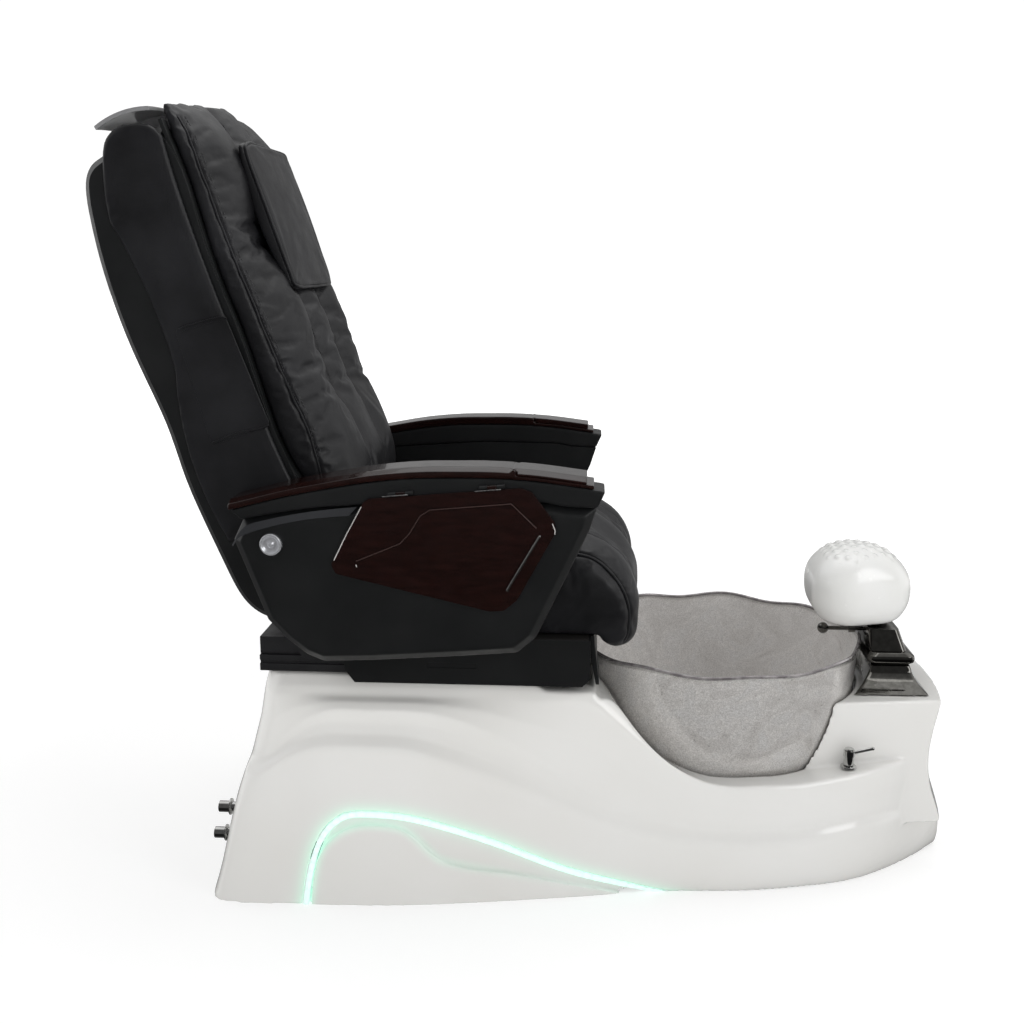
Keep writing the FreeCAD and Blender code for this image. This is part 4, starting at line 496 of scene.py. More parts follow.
def glass_look(name, metallic, light):
    look = Look(name, (0.45, 0.44, 0.43), 0.3, metallic)
    # Emission of the given strength: painted light that brightens the glass
    look.set("Emission Color", (1.0, 0.97, 0.95, 1))
    look.set("Emission Strength", light)
    fine = look.noise(430.0, 3.0, 0.75)
    clouds = look.noise(9.0, 4.0, 0.55, distort=2.6)
    grain = look.ramp(fine, (0.30, (0.40, 0.385, 0.375)), (0.50, (0.60, 0.59, 0.58)),
                      (0.70, (0.80, 0.795, 0.79)))
    tone = look.ramp(clouds, (0.32, (0.84, 0.82, 0.80)), (0.46, (0.90, 0.885, 0.87)),
                     (0.51, (1.0, 0.985, 0.965)), (0.56, (0.90, 0.89, 0.88)), (0.70, (0.97, 0.965, 0.96)))
    mix = look.add("ShaderNodeMix", data_type="RGBA", blend_type="MULTIPLY")
    mix.inputs["Factor"].default_value = 1.0
    look.link(grain, mix.inputs["A"])
    look.link(tone, mix.inputs["B"])
    look.colour(mix.outputs["Result"])
    look.roughness(look.range(clouds, 0.26, 0.42))
    look.bump(look.noise(16.0, 3.0, 0.5, distort=0.8), 0.35, 0.006)
    look.bump(fine, 0.25, 0.0008)
    look.coat(1.0, 0.03)
    return look.material


def rim_look():
    look = Look("bowl_rim_glass", (0.22, 0.20, 0.205), 0.12, 0.25)
    look.colour(look.ramp(look.noise(60.0, 3.0), (0.35, (0.16, 0.145, 0.15)), (0.65, (0.34, 0.32, 0.32))))
    look.bump(look.noise(45.0, 2.0), 0.2, 0.002)
    look.coat(1.0, 0.02)
    return look.material


def metal_look(name, low, high, rough, stretch=(1, 1, 1), scale=90.0):
    look = Look(name, high, rough[0], 1.0)
    streaks = look.noise(scale, 3.0, 0.6, stretch)
    look.colour(look.ramp(streaks, (0.35, low), (0.65, high)))
    look.roughness(look.range(streaks, rough[0], rough[1]))
    look.bump(streaks, 0.04, 0.0004)
    return look.material


def leather_look():
    look = Look("black_leather", (0.010, 0.010, 0.0115), 0.42)
    broad = look.noise(9.0, 4.0, 0.55)
    look.colour(look.ramp(broad, (0.3, (0.007, 0.007, 0.008)), (0.7, (0.014, 0.014, 0.016))))
    look.roughness(look.range(look.noise(26.0, 5.0, 0.6), 0.36, 0.50))
    look.bump(look.noise(38.0, 5.0, 0.6, distort=0.6), 0.16, 0.004)
    look.bump(look.noise(150.0, 4.0, 0.6), 0.10, 0.0012)
    look.bump(look.cells(620.0), 0.22, 0.0004)
    look.set("Specular IOR Level", 0.36)
    return look.material


def thread_look():
    look = Look("stitching", (0.03, 0.03, 0.032), 0.55)
    twist = look.noise(900.0, 2.0, 0.5, (1, 1, 3))
    look.colour(look.ramp(twist, (0.3, (0.02, 0.02, 0.022)), (0.7, (0.055, 0.055, 0.058))))
    look.bump(twist, 0.4, 0.0003)
    return look.material


def satin_look(name, low, high, rough, coat=0.0):
    look = Look(name, low, rough[0])
    look.colour(look.ramp(look.noise(12.0, 4.0), (0.3, low), (0.7, high)))
    look.roughness(look.range(look.noise(34.0, 4.0, 0.6), rough[0], rough[1]))
    look.bump(look.noise(700.0, 2.0), 0.10, 0.0003)
    if coat:
        look.coat(coat, 0.08)
    return look.material


def lacquer_look():
    look = Look("burgundy_lacquer", (0.014, 0.0045, 0.0035), 0.22)
    grain = look.noise(26.0, 6.0, 0.6, (1, 1, 5))
    look.colour(look.ramp(grain, (0.3, (0.0065, 0.0024, 0.0020)), (0.7, (0.0135, 0.0044, 0.0036))))
    look.roughness(look.range(look.noise(50.0, 3.0), 0.14, 0.24))
    look.bump(look.noise(42.0, 2.0), 0.03, 0.001)
    look.set("Specular IOR Level", 0.25)
    look.coat(0.55, 0.015)
    look.set("Coat IOR", 1.38)
    return look.material


def wood_look():
    look = Look("seat_board_wood", (0.014, 0.012, 0.011), 0.6)
    rings = look.noise(22.0, 6.0, 0.6, (1, 9, 1), 0.4)
    look.colour(look.ramp(rings, (0.3, (0.009, 0.008, 0.0075)), (0.55, (0.014, 0.0125, 0.0115)),
                          (0.75, (0.022, 0.019, 0.017))))
    look.bump(rings, 0.3, 0.0008)
    return look.material


looks = {
    "gelcoat": gelcoat_look(),
    "footrest_white": footrest_look(),
    "led_diffuser": led_look(),
    "bowl_glass": glass_look("bowl_glass", 0.25, 0.0),
    "polished_steel": metal_look("polished_steel", (0.50, 0.50, 0.49), (0.60, 0.60, 0.59), (0.05, 0.11)),
    "frame_steel": satin_look("frame_steel", (0.012, 0.012, 0.013), (0.022, 0.022, 0.024), (0.30, 0.45)),
    "bright_steel": metal_look("bright_steel", (0.46, 0.46, 0.46), (0.62, 0.62, 0.62), (0.20, 0.34),
                               (8, 1, 1), 300.0),
    "drive_plastic": satin_look("drive_plastic", (0.016, 0.016, 0.017), (0.028, 0.028, 0.03), (0.5, 0.65)),
    "black_satin": satin_look("black_satin", (0.0065, 0.007, 0.0075), (0.0095, 0.010, 0.0105), (0.38, 0.50)),
    "burgundy_lacquer": lacquer_look(),
    "black_leather": leather_look(),
    "seat_board_wood": wood_look(),
    "silver_paint": satin_look("silver_paint", (0.15, 0.15, 0.155), (0.21, 0.21, 0.215), (0.28, 0.36), 0.4),
}
rim_glass = rim_look()
# The bowl's inside gives off a faint painted light
inner_glass = glass_look("bowl_glass_inside", 0.05, 0.07)
thread = thread_look()
# Chrome darkened in colour: painted dark reflection of the surroundings on the polished steel
chrome_painted_dark = metal_look("chrome_painted_dark", (0.12, 0.117, 0.108), (0.17, 0.166, 0.155), (0.03, 0.07))
# Lighter satin for the arm's rear bevel: painted highlight
bevel_painted_highlight = satin_look("arm_bevel_painted_highlight", (0.020, 0.021, 0.024), (0.028, 0.029, 0.033), (0.40, 0.52))
turned_steel = metal_look("turned_steel", (0.68, 0.69, 0.72), (0.72, 0.73, 0.76), (0.20, 0.26), scale=400.0)
turned_steel.node_tree.nodes["Principled BSDF"].inputs["Metallic"].default_value = 0.72
# Lighter lacquer for the tray's facet line: painted highlight where the crease catches light
facet_painted_highlight = satin_look("lacquer_facet_painted_highlight", (0.034, 0.018, 0.016), (0.048, 0.026, 0.023), (0.30, 0.40))
# Pale glossy paint for tubes along the tray's edges: painted highlights
edge_painted_highlight = satin_look("lacquer_painted_highlight", (0.36, 0.34, 0.33), (0.50, 0.48, 0.47), (0.12, 0.20), 1.0)
slot_of = {entry["node"]: entry["material_slot"] for entry in frame["record"]["subparts"]}
body_of = {node: body for body, members in frame["record"]["behaviour"]["bodies"].items() for node in members}

for node, obj in nodes.items():
    obj.data.materials.clear()
    obj.data.materials.append(looks[slot_of[node]])


def placed(obj, node, material=None):
    """The piece stands for a node: it rides on its body and takes its finish."""
    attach(obj, body_of[node])
    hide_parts(node)
    obj.data.materials.clear()
    obj.data.materials.append(material or looks[slot_of[node]])
    return obj


def added(obj, body, slot, material=None):
    """An extra piece on a body."""
    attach(obj, body)
    obj.data.materials.clear()
    obj.data.materials.append(material or looks[slot])
    return obj


def attribute(obj, name, values):
    """Give each vertex a value that a material can read."""
    made = obj.data.attributes.new(name, "FLOAT", "POINT")
    made.data.foreach_set("value", np.asarray(values, np.float32))


# Base, its lit arch and the panel under it

BASE_VOXEL = 0.0027
BASE_PASSES = 16
PANEL_VOXEL = 0.002
# Widths of the green glow painted on the gelcoat beside the arch and along the panel's bulge
HALO_WIDTH = 0.013
BULGE_HALO_WIDTH = 0.008
LED_PITCH = 0.017
arch = through([(x * MM, z * MM) for x, z in ARCH_LINE], 0.01)
bulge = through([(x * MM, z * MM) for x, z in BULGE_LINE], 0.01)


def lit_base():
    """Glossy shell of the base with soft ridges, with a green glow painted beside the arch."""
    shell = rounded_copy("base_shell", "base_shell_moulding", BASE_VOXEL, BASE_PASSES)
    points = coordinates(shell)
    # Painted light: a green glow on the shell's sides that falls off with the distance from the arch
    gap, _ = near_line(points[:, [0, 2]], arch)
    on_side = np.abs(points[:, 1]) > 0.20
    attribute(shell, "glow", np.where(on_side, np.exp(-(gap / HALO_WIDTH) ** 1.4), 0))
    placed(shell, "base_shell")
    for side in ("right", "left"):
        panel = rounded_copy("access_panel_" + side, "access_panel_%s_moulding" % side, PANEL_VOXEL, 10)
        points = coordinates(panel)[:, [0, 2]]
        outer, _ = near_line(points, arch)
        inner, _ = near_line(points, bulge)
        # Painted light: the arch's green glow, and a fainter glow along the bulge that fades as X grows
        faint = np.clip(1.15 - (points[:, 0] + 0.40) / 0.42, 0.12, 1)
        light = (np.exp(-(outer / HALO_WIDTH) ** 1.4)
                 + 0.5 * faint * np.exp(-(inner / BULGE_HALO_WIDTH) ** 2))
        attribute(panel, "glow", light)
        placed(panel, "access_panel_" + side)
        strip = node_copy("led_strip_" + side, "led_strip_%s_diffuser" % side)
        modifier(strip, "SUBSURF", subdivision_type="SIMPLE", levels=1, render_levels=1)
        settle(strip)
        gap, along = near_line(coordinates(strip)[:, [0, 2]], arch)
        attribute(strip, "glow", 0.85 + 0.25 * np.cos(along * 2 * math.pi / LED_PITCH))
        placed(strip, "led_strip_" + side)


lit_base()


# Foot bowl

AROUND = 216
WALL_ROWS = 40
RIM_ROWS = 9
RIM_RADIUS = 0.0034


def bowl_radius(z):
    """Outer radius of the bowl at a height."""
    return float(np.interp(z / MM, [p[0] for p in BOWL_PROFILE], [p[1] for p in BOWL_PROFILE])) * MM


def foot_bowl():
    """Wavy glass bowl: outer wall, rolled rim, inner wall and floor."""
    low, high = BOWL_PROFILE[0][0] * MM, BOWL_PROFILE[-1][0] * MM
    outside = [low + (high - low) * t ** 1.3 for t in np.linspace(0, 1, WALL_ROWS)]
    radii = evened([(bowl_radius(z), z) for z in outside], 4)
    rows = [(radius, z) for radius, z in radii]
    middle = rows[-1][0] - BOWL_WALL / 2
    rows += [(middle + RIM_RADIUS * math.cos(t), rows[WALL_ROWS - 1][1] + RIM_RADIUS * math.sin(t))
             for t in np.linspace(-0.5, math.pi + 0.5, RIM_ROWS)]
    rows += [(radius - BOWL_WALL, max(z, low + BOWL_WALL)) for radius, z in radii[::-1]]
    points = []
    for radius, z in rows:
        share = min(1.0, max(0.0, (z - BOWL_WAVE_START) / (high - BOWL_WAVE_START)))
        share = share * share * (3 - 2 * share)
        for k in range(AROUND):
            turn = 2 * math.pi * k / AROUND
            wave = math.cos(BOWL_WAVES * turn) * BOWL_WAVE * share
            uneven = 0.0018 * share * noise.noise(Vector((2.2 * math.cos(turn), 2.2 * math.sin(turn), 4.1)))
            points.append((BOWL_X + (radius + wave) * math.cos(turn), (radius + wave) * math.sin(turn),
                           z + wave + uneven))
    faces = []
    total = len(rows)
    for i in range(total - 1):
        for k in range(AROUND):
            m = (k + 1) % AROUND
            faces.append((i * AROUND + k, i * AROUND + m, (i + 1) * AROUND + m, (i + 1) * AROUND + k))
    faces.append(tuple(range(AROUND))[::-1])
    faces.append(tuple((total - 1) * AROUND + k for k in range(AROUND)))
    bowl = mesh_of("foot_bowl_glass", points, faces)
    placed(bowl, "foot_bowl")
    bowl.data.materials.append(rim_glass)
    bowl.data.materials.append(inner_glass)
    for polygon in bowl.data.polygons:
        row = polygon.vertices[0] // AROUND
        on_rim = row < WALL_ROWS + RIM_ROWS - 1 and len(polygon.vertices) == 4
        polygon.material_index = 0 if row < WALL_ROWS else 1 if on_rim else 2
    return bowl


foot_bowl()


# Footrest

FOOTREST_X = 0.6
STUD_PITCH = 0.020
STUD_ROW = STUD_PITCH * 0.866      # between rows of studs, which lie in triangles
STUD_RADIUS = 0.0050
STUD_HEIGHT = 0.0030
STUD_LOWEST = 0.52                 # no studs below this height
STUD_REACH = 0.86                  # share of the pad's half width that the studs reach


def footrest():
    """Glossy foot pad with a dome of small studs."""
    pad = rounded_copy("footrest_pad", "footrest_pad_cover", 0.003, 10)
    modifier(pad, "SUBSURF", levels=1, render_levels=1)
    settle(pad)
    points = coordinates(pad)
    low, high = points[:, 2].min(), points[:, 2].max()
    middle = (points[:, 0].min() + points[:, 0].max()) / 2
    half_x, half_y = np.ptp(points[:, 0]) / 2, np.ptp(points[:, 1]) / 2
    share = (points[:, 2] - low) / (high - low)
    reach = np.hypot((points[:, 0] - middle) / half_x, points[:, 1] / half_y)
    crown = 0.024 * np.minimum(reach, 1.1) ** 2.2 + 0.06 * (points[:, 0] - middle)
    points[:, 2] -= np.maximum(share - 0.15, 0) / 0.85 * (crown + 0.004)
    set_coordinates(pad, points)
    facing = normals(pad)
    lift = np.zeros(len(points))
    for i, (x, y, z) in enumerate(points):
        if z < STUD_LOWEST or facing[i][2] < 0.55:
            continue
        row = round((x - FOOTREST_X) / STUD_ROW)
        shift = 0.5 * STUD_PITCH if row % 2 else 0.0
        stud_x = FOOTREST_X + row * STUD_ROW
        stud_y = round((y - shift) / STUD_PITCH) * STUD_PITCH + shift
        gap = math.hypot(x - stud_x, y - stud_y)
        upright = min(1.0, max(0.0, (facing[i][2] - 0.72) / 0.12))
        inside = min(1.0, max(0.0, (STUD_REACH - reach[i]) / 0.05))
        lift[i] = STUD_HEIGHT * upright * inside * math.exp(-(gap / STUD_RADIUS) ** 2.6)
    set_coordinates(pad, points + facing * lift[:, None])
    return placed(pad, "footrest_pad")


footrest()


# Hard pieces: the frame's shapes with small rounded edges

EDGE_WIDTHS = {                    # of the bevelled edges, in millimetres
    "side_tray_right": 2.8, "side_tray_left": 2.8, "tray_hinges_right": 0.3, "tray_hinges_left": 0.3,
    "back_shell": 1.2, "top_cap": 1.2, "seat_pan": 1.2, "front_skirt": 1.5, "slide_tracks": 1.0,
    "spout_collar": 0.8, "footrest_post": 1.0, "footrest_knob": 0.5, "valve_plate": 0.6,
    "valve_body": 0.6, "valve_lever": 0.8, "water_inlets": 0.5, "power_inlet": 0.8,
    "arm_brackets": 0.8, "seat_frame": 1.0, "seat_board": 1.5, "bowl_drain": 0.6, "jet_cover": 0.6,
    "levelling_feet": 0.6,
}
ARM_MOULDINGS = [("arm_shell", 1.8, 16), ("arm_beam", 1.9, 14), ("arm_top", 1.7, 9), ("cup_lid", 1.2, 7)]
finishes = {"spout_collar": chrome_painted_dark, "footrest_post": chrome_painted_dark, "footrest_knob": chrome_painted_dark,
            "tray_hinges_right": looks["black_satin"], "tray_hinges_left": looks["black_satin"]}


def hard_pieces():
    """Mouldings rounded all over, and machined or folded pieces with bevelled edges."""
    placed(rounded_copy("spout_housing", "spout_housing_finish", 0.0022, 14), "spout_housing", chrome_painted_dark)
    for side in ("_right", "_left"):
        for node, voxel, passes in ARM_MOULDINGS:
            placed(rounded_copy(node + side, node + side + "_finish", voxel * MM, passes), node + side)
    for node, width in EDGE_WIDTHS.items():
        placed(softened(node, node + "_finish", width * MM), node, finishes.get(node))


hard_pieces()


# Small pieces of the arms

PIVOT_CENTRE = (-0.459, 0.661)
PIVOT_FACE = -381.3                # Y of the right cap's outermost ring, in millimetres
PIVOT_RINGS = [(0, 0.6), (2.0, 0.7), (3.6, 1.6), (5.2, 4.0), (7.2, 5.6), (9.6, 6.0), (12.0, 5.0),
               (14.0, 2.6), (15.4, 0.5), (16.6, 0.0), (17.8, 0.5), (18.6, 2.0), (18.8, 4.0), (18.8, 11.2),
               (12.0, 11.4), (9.0, 13.0), (9.0, 89.0), (0, 90.0)]
TRAY_FACET = [(-314, 635), (-240, 666), (-224, 683), (-205, 714), (-189, 724), (-122, 730), (-54, 736),
              (-13, 696)]
# Lines of the painted highlights along the tray's edges and corner
TRAY_SHINES = [[(-304, 727), (-330, 680), (-352, 636)], [(14, 703), (18.5, 692), (18, 686)],
               [(-315, 628), (-314, 625)]]
PULL_BAR = [(-7.2, 682), (-34, 636), (-61, 589)]
FACET_Y = -0.3777                  # Y of the right tray's trims, from its face outwards
SHINE_Y = -0.3772
PULL_BAR_Y = -0.3788
HINGE_PIN_Y = -0.3800
# Middles of the hinge pins in the side view, their half length and the rise along them
HINGE_PINS = [(-246.8, 747.4), (-92.4, 758.3)]
HINGE_PIN_HALF = 20.5
HINGE_SLOPE = 0.09
# The bevel's two edges in the side view, and its places across the chair
BAND_TOP = [(-527, 658), (-505, 689), (-462, 703), (-403, 715), (-352, 722), (-312, 726)]
BAND_BOTTOM = [(-525, 656), (-511, 673), (-462, 690), (-403, 703), (-352, 709), (-326, 711)]
BAND_REAR_Y = -0.3698
BAND_TOP_Y = -0.3703
BAND_BOTTOM_Y = -0.3722


def lathe(name, rings, centre, side, around=64):
    """Turned piece about a crosswise axis, from (radius, depth) rings in millimetres."""
    points, faces = [], []
    for radius, depth in rings:
        for k in range(around):
            turn = 2 * math.pi * k / around
            points.append((centre[0] + radius * MM * math.cos(turn), side * (PIVOT_FACE + depth) * MM,
                           centre[1] + radius * MM * math.sin(turn)))
    for i in range(len(rings) - 1):
        for k in range(around):
            m = (k + 1) % around
            face = (i * around + k, i * around + m, (i + 1) * around + m, (i + 1) * around + k)
            faces.append(face if side > 0 else face[::-1])
    obj = mesh_of(name, points, faces)
    work = bmesh.new()
    work.from_mesh(obj.data)
    bmesh.ops.remove_doubles(work, verts=work.verts, dist=1e-6)
    bmesh.ops.recalc_face_normals(work, faces=work.faces)
    work.to_mesh(obj.data)
    work.free()
    obj.data.shade_smooth()
    return obj


def tray_trim(side, name):
    """Facet line in a lighter lacquer, pale tubes painted as edge highlights, and the pull bar of one tray.
    """
    # The raised facet line in lighter lacquer: a painted highlight
    facet = tube("tray_facet_" + name, in_metres(TRAY_FACET, FACET_Y * side), 0.0010, sides=8)
    added(facet, "tray_" + name, "burgundy_lacquer", facet_painted_highlight)
    # Pale tubes along the tray's edges and corner: painted highlights where the rounded edges catch light
    shines = [tube("shine", in_metres(line, SHINE_Y * side), 0.0010, sides=8) for line in TRAY_SHINES]
    added(joined("tray_edge_shine_" + name, shines), "tray_" + name, "burgundy_lacquer", edge_painted_highlight)
    bar = tube("tray_pull_" + name, in_metres(PULL_BAR, PULL_BAR_Y * side), 0.0021, sides=10)
    added(bar, "tray_" + name, "polished_steel")


def hinge_pins(side, name):
    """Bright pins along the two tray hinges of one arm."""
    pins = []
    for x, z in HINGE_PINS:
        ends = [(x + run, z + run * HINGE_SLOPE) for run in (-HINGE_PIN_HALF, 0, HINGE_PIN_HALF)]
        pins.append(tube("pin", in_metres(ends, HINGE_PIN_Y * side), 0.0011, sides=8))
    added(joined("tray_hinge_pins_" + name, pins), "arm_" + name, "bright_steel")


def bevel_band(side, name):
    """Lighter grey bevel along the rear top edge of one arm's casing: painted light that the bevel catches.
    """
    top = through([(x * MM, z * MM) for x, z in BAND_TOP], 0.008)
    low = through([(x * MM, z * MM) for x, z in BAND_BOTTOM], 0.008)
    count = min(len(top), len(low))
    points = []
    for i in range(count):
        t = i / (count - 1)
        a, b = top[int(round(t * (len(top) - 1)))], low[int(round(t * (len(low) - 1)))]
        points += [(a[0], BAND_REAR_Y * side, a[1]), (a[0], BAND_TOP_Y * side, a[1]),
                   (b[0], BAND_BOTTOM_Y * side, b[1]), (b[0], BAND_REAR_Y * side, b[1] - 0.0004)]
    faces = []
    for i in range(count - 1):
        for k in range(4):
            m = (k + 1) % 4
            face = (4 * i + k, 4 * i + m, 4 * i + 4 + m, 4 * i + 4 + k)
            faces.append(face if side > 0 else face[::-1])
    faces += [(0, 1, 2, 3), tuple(4 * count - 1 - k for k in range(4))]
    band = mesh_of("arm_bevel_" + name, points, faces)
    band.data.shade_flat()
    added(band, "arm_" + name, "black_satin", bevel_painted_highlight)


for side, name in ((1, "right"), (-1, "left")):
    placed(lathe("arm_pivot_%s_cap" % name, PIVOT_RINGS, PIVOT_CENTRE, side), "arm_pivot_" + name,
           turned_steel)
    tray_trim(side, name)
    hinge_pins(side, name)
    bevel_band(side, name)


# Back cushion

INNER_SEAM = [(-400, 62, 690), (-430, 70, 800), (-450, 76, 900), (-470, 78, 1000), (-500, 78, 1100),
              (-540, 78, 1200), (-575, 76, 1300), (-600, 72, 1370)]
OUTER_SEAM = [(-387, 250, 690), (-413, 250, 822), (-453, 250, 917), (-490, 250, 1011),
              (-514, 250, 1079), (-545, 249, 1153), (-569, 247, 1227), (-599, 244, 1308),
              (-622, 236, 1366)]


def rear_line(z):
    """X of the cushion's rear face at heights in metres."""
    heights = [station[1] for station in CUSHION_STATIONS]
    return np.interp(z / MM, heights, [station[0] for station in CUSHION_STATIONS]) * MM


def back_seams(cushion):
    """The inner and outer seam of both bolsters, the right bolster's first."""
    tree = surface(cushion)
    lines = []
    for side in (-1, 1):
        for seam in (INNER_SEAM, OUTER_SEAM):
            run = through([np.array((x, side * y, z)) * MM for x, y, z in seam], 0.008)
            lines.append(evened(laid(tree, run, 0.0), 4))
    return lines


def back_thread(tree, seams):
    """Piping on the outer seams and rows of stitches beside all of them."""
    piping = []
    for line in seams[1::2]:
        piping.append(tube("seam", evened(laid(tree, line, 0.0008), 2), 0.0022, sides=8))
    added(joined("back_seam_piping", piping), "back", "black_leather")
    rows = []
    for number, line in enumerate(seams):
        side = -1 if number < 2 else 1
        for shift in ((0.009, 0.015) if number % 2 else (0.007,)):
            beside = np.array(line) - np.array((0, side * shift, 0)) + np.array((0.002, 0, 0))
            run = evened(laid(tree, beside, 0.0002), 3)
            rows.append(stitches("stitch", run, STITCH_PITCH, STITCH_LENGTH, 0.00055))
    added(joined("back_stitching", rows), "back", "black_leather", thread)


def back_cushion():
    """Padded leather back: two bolsters, a centre panel and the front seams."""
    cushion = node_copy("back_cushion", "back_cushion_leather")
    modifier(cushion, "REMESH", mode="VOXEL", voxel_size=0.006, use_smooth_shade=True)
    modifier(cushion, "SMOOTH", factor=0.5, iterations=3)
    settle(cushion)
    seams = back_seams(cushion)

    def held(co):
        fixed = co[:, 0] - rear_line(co[:, 2]) < 0.012
        for line in seams:
            gap, _ = near_line(co, line)
            fixed = fixed | (gap < SEAM_HOLD)
        return fixed

    inflated(cushion, held, 3.0, 0.014, grow=0.03)
    finer(cushion)
    for number, line in enumerate(seams):
        pressed(cushion, line, 0.0045, 0.0035)
        puckered(cushion, line, 0.045, 0.005 if number % 2 else 0.0035, 0.022, number + 0.5)
    placed(cushion, "back_cushion")
    back_thread(surface(cushion), seams)


back_cushion()


# Head pillow

PILLOW_TOP = np.array((-0.5514, 0, 1.332))
PILLOW_BOTTOM = np.array((-0.4634, 0, 1.074))
# Shares of the pillow's height and half width round its piped edge
PILLOW_EDGE = [(0.03, -0.9), (0.0, 0), (0.03, 0.9), (0.10, 0.985), (0.5, 1.0), (0.90, 0.985),
               (0.985, 0.9), (1.0, 0), (0.985, -0.9), (0.90, -0.985), (0.5, -1.0), (0.10, -0.985)]


def head_pillow():
    """Piped head pillow with a crowned front."""
    pillow = node_copy("head_pillow", "head_pillow_leather")
    modifier(pillow, "REMESH", mode="VOXEL", voxel_size=0.0045, use_smooth_shade=True)
    modifier(pillow, "SMOOTH", factor=0.5, iterations=12)
    settle(pillow)
    span = np.linalg.norm(PILLOW_BOTTOM - PILLOW_TOP)
    along = (PILLOW_BOTTOM - PILLOW_TOP) / span
    out = np.array((-along[2], 0, along[0]))
    ring = []
    for share, half in PILLOW_EDGE:
        across = np.array((0, half * PILLOW_HALF, 0))
        ring.append(PILLOW_TOP + along * share * span + across + out * 0.012)
    edge = through(ring + ring[:1], 0.006)[:-1]
    edge = laid(surface(pillow), edge, 0.0)

    def held(co):
        behind = (co - PILLOW_TOP) @ out < 0.004
        gap, _ = near_line(co, np.vstack([edge, edge[:1]]))
        return behind | (gap < 0.005)

    inflated(pillow, held, 2.2, 0.008, grow=-0.01)
    modifier(pillow, "SMOOTH", factor=0.5, iterations=6)
    settle(pillow)
    finer(pillow)
    pressed(pillow, np.vstack([edge, edge[:1]]), 0.005, 0.002)
    placed(pillow, "head_pillow")
    line = laid(surface(pillow), edge, 0.0012)
    for _ in range(3):
        line = (np.roll(line, 1, 0) + 2 * line + np.roll(line, -1, 0)) / 4
    added(tube("head_pillow_piping", line, 0.0032, sides=10, closed=True), "head_pillow", "black_leather")


head_pillow()


# Seat cushion

SEAT_PROFILE = [(-0.395, 0.590), (-0.370, 0.618), (-0.180, 0.626), (0.02, 0.628), (0.085, 0.618),
                (0.120, 0.590), (0.148, 0.540), (0.152, 0.500), (0.146, 0.468)]
SEAT_SEAMS = [(0.945, 0.004), (0.60, 0.0)]    # share of the half width, and how far inside the profile


def seat_cushion():
    """Crowned seat with its front roll, side gussets and piping."""
    seat = node_copy("seat_cushion", "seat_cushion_leather")
    modifier(seat, "REMESH", mode="VOXEL", voxel_size=0.006, use_smooth_shade=True)
    modifier(seat, "SMOOTH", factor=0.5, iterations=3)
    settle(seat)
    tree = surface(seat)
    lines = []
    for side in (-1, 1):
        for share, lower in SEAT_SEAMS:
            run = through([(x - lower, side * SEAT_HALF * share, z - lower) for x, z in SEAT_PROFILE], 0.008)
            lines.append(evened(laid(tree, run, 0.0), 4))

    def held(co):
        fixed = (co[:, 2] < 0.482) & (co[:, 0] < 0.100)
        fixed |= co[:, 0] < -0.392
        for line in lines:
            gap, _ = near_line(co, line)
            fixed |= gap < SEAM_HOLD
        return fixed

    inflated(seat, held, 3.5, 0.012, grow=0.03)
    finer(seat)
    for number, line in enumerate(lines):
        pressed(seat, line, 0.0045, 0.003)
        puckered(seat, line, 0.04, 0.004, 0.024, number + 7.5)
    placed(seat, "seat_cushion")
    tree = surface(seat)
    pieces = []
    for number in (0, 2):
        run = evened(laid(tree, lines[number], 0.001), 2)
        pieces.append(tube("piping", run, 0.003, sides=8))
    added(joined("seat_piping", pieces), "carriage", "black_leather")


seat_cushion()


# Side panels of the back

POCKET_SEAMS = [[(-624, 1014), (-606, 1022), (-580, 1030), (-554, 1036), (-534, 1039)],
                [(-578, 818), (-560, 826), (-538, 835), (-507, 842), (-474, 848)]]


def side_panels():
    """Padded side panels, each with a sewn pocket."""
    for side, name in ((-1, "right"), (1, "left")):
        pad = node_copy("side_pad_" + name, "side_pad_%s_leather" % name)
        modifier(pad, "REMESH", mode="VOXEL", voxel_size=0.0035, use_smooth_shade=True)
        modifier(pad, "SMOOTH", factor=0.5, iterations=4)
        settle(pad)

        def held(co):
            return np.abs(co[:, 1]) < 0.278

        inflated(pad, held, 1.0, 0.0025)
        placed(pad, "side_pad_" + name)
        pocket = softened("side_pocket_" + name, "side_pocket_%s_leather" % name, 0.0014)
        placed(pocket, "side_pocket_" + name)
        tree = surface(pocket)
        seams = []
        for line in POCKET_SEAMS:
            run = through(in_metres(line, side * 0.30), 0.006)
            run = evened(laid(tree, run, 0.0006, direction=(0, -side, 0)), 2)
            seams.append(tube("seam", run, 0.0018, sides=8))
            below = evened(laid(tree, run - np.array((0.0, 0, 0.006)), 0.0002), 2)
            seams.append(stitches("stitch", below, STITCH_PITCH, STITCH_LENGTH, 0.0005))
        added(joined("side_pocket_%s_seams" % name, seams), "back", "black_leather")


side_panels()


# Camera, floor and light

CAMERA_PLACE = (0.072, -2.306, 1.129)
CAMERA_DIP = 0.2073                # below the horizon, in radians
CAMERA_TURN = 0.0646
CAMERA_LENS = 42.16
FLOOR_GLOW = 0.55
FLOOR_RINGS = [0.0, 0.5, 1.0, 2.0, 4.0, 8.0, 16.0, 40.0]
FLOOR_SIDES = 72
CARD_HALF = 3.5
CARD_Y = 2.4
SKY_DARK = 0.10
SKY_BELOW = 0.14
SKY_BRIGHT = 1.05


def camera():
    """Camera at the photograph's place and angle."""
    data = bpy.data.cameras.new("camera")
    data.sensor_width = 36
    data.lens = CAMERA_LENS
    obj = bpy.data.objects.new("camera", data)
    scene.collection.objects.link(obj)
    obj.location = CAMERA_PLACE
    obj.rotation_euler = (math.pi / 2 - CAMERA_DIP, 0, CAMERA_TURN)
    scene.camera = obj


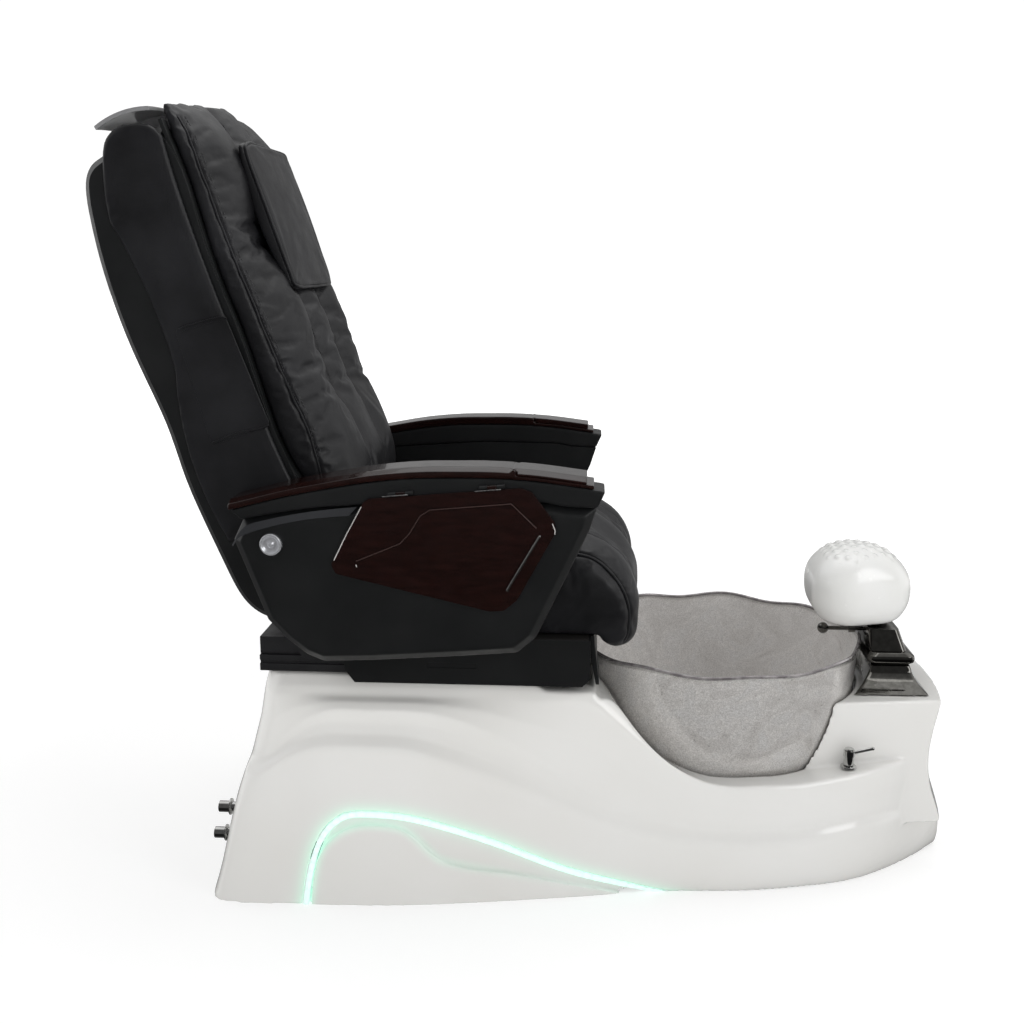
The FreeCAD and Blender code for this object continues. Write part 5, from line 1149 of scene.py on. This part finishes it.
def floor():
    """Large pale floor, even and near white out to the horizon."""
    look = Look("pale_floor", (0.55, 0.55, 0.55), 0.9)
    look.bump(look.noise(30.0, 2.0), 0.02, 0.001)
    look.set("Specular IOR Level", 0.0)
    look.set("Emission Color", (1, 1, 1, 1))
    length = look.add("ShaderNodeVectorMath", operation="LENGTH")
    look.link(look.place, length.inputs[0])
    fade = look.range(length.outputs["Value"], FLOOR_GLOW, 1.05, 1.2, 5.0)
    look.link(fade, look.shader.inputs["Emission Strength"])
    points = [(0, 0, 0)]
    for radius in FLOOR_RINGS[1:]:
        turns = [2 * math.pi * k / FLOOR_SIDES for k in range(FLOOR_SIDES)]
        points += [(radius * math.cos(turn), radius * math.sin(turn), 0) for turn in turns]
    faces = [(0, 1 + k, 1 + (k + 1) % FLOOR_SIDES) for k in range(FLOOR_SIDES)]
    for i in range(len(FLOOR_RINGS) - 2):
        low, high = 1 + i * FLOOR_SIDES, 1 + (i + 1) * FLOOR_SIDES
        for k in range(FLOOR_SIDES):
            m = (k + 1) % FLOOR_SIDES
            faces.append((low + k, high + k, high + m, low + m))
    obj = mesh_of("floor", points, faces)
    obj.data.materials.append(look.material)
    obj.visible_glossy = False


def card():
    """Grey card behind the chair that shows only in its gloss."""
    corners = [(-CARD_HALF, CARD_Y, 0.2), (CARD_HALF, CARD_Y, 0.2), (CARD_HALF, CARD_Y, 2.6),
               (-CARD_HALF, CARD_Y, 2.6)]
    obj = mesh_of("grey_card", corners, [(0, 1, 2, 3)])
    look = Look("grey_card", (0, 0, 0), 1.0)
    look.set("Specular IOR Level", 0.0)
    look.set("Emission Color", (1, 1, 1, 1))
    look.set("Emission Strength", 0.36)
    obj.data.materials.append(look.material)
    obj.visible_camera = False
    obj.visible_diffuse = False
    obj.visible_shadow = False
    obj.visible_transmission = False


def area(name, place, target, size, power, glossy=True):
    """Soft box that faces a point."""
    data = bpy.data.lights.new(name, "AREA")
    data.shape = "RECTANGLE"
    data.size, data.size_y = size
    data.energy = power
    obj = bpy.data.objects.new(name, data)
    scene.collection.objects.link(obj)
    obj.location = place
    obj.rotation_euler = (Vector(target) - Vector(place)).to_track_quat("-Z", "Y").to_euler()
    obj.visible_glossy = glossy
    obj.visible_camera = False


def sky_ramp(tree, value, start, end, low, high):
    """Smooth change from low to high while a value goes from start to end."""
    ramp = tree.nodes.new("ShaderNodeMapRange")
    ramp.interpolation_type = "SMOOTHSTEP"
    ramp.inputs["From Min"].default_value = start
    ramp.inputs["From Max"].default_value = end
    ramp.inputs["To Min"].default_value = low
    ramp.inputs["To Max"].default_value = high
    tree.links.new(value, ramp.inputs["Value"])
    return ramp.outputs["Result"]


def sky():
    """Pale surroundings, dark on the sitter's right and below the horizon."""
    world = bpy.data.worlds.new("studio")
    world.use_nodes = True
    scene.world = world
    tree = world.node_tree
    background = tree.nodes["Background"]
    direction = tree.nodes.new("ShaderNodeTexCoord")
    parts = tree.nodes.new("ShaderNodeSeparateXYZ")
    tree.links.new(direction.outputs["Generated"], parts.inputs["Vector"])
    both = tree.nodes.new("ShaderNodeMath")
    both.operation = "MULTIPLY"
    across = sky_ramp(tree, parts.outputs["Y"], -0.45, 0.25, SKY_DARK, SKY_BRIGHT)
    upward = sky_ramp(tree, parts.outputs["Z"], -0.30, -0.05, SKY_BELOW, 1.0)
    tree.links.new(across, both.inputs[0])
    tree.links.new(upward, both.inputs[1])
    tree.links.new(both.outputs["Value"], background.inputs["Strength"])
    background.inputs["Color"].default_value = (1, 1, 1, 1)


camera()
floor()
card()
sky()
area("key_left", (-2.2, -2.6, 2.6), (0, 0, 0.6), (2.2, 2.2), 30, glossy=False)
area("key_right", (2.4, -1.8, 2.2), (0, 0, 0.6), (1.4, 2.0), 22)
area("front_fill", (0.4, -3.6, 1.2), (0.1, 0, 0.5), (3.0, 1.6), 26, glossy=False)
area("top", (0.2, 0.3, 3.2), (0, 0, 0.5), (2.6, 1.6), 12)
scene.view_settings.view_transform = "Standard"
scene.view_settings.look = "None"
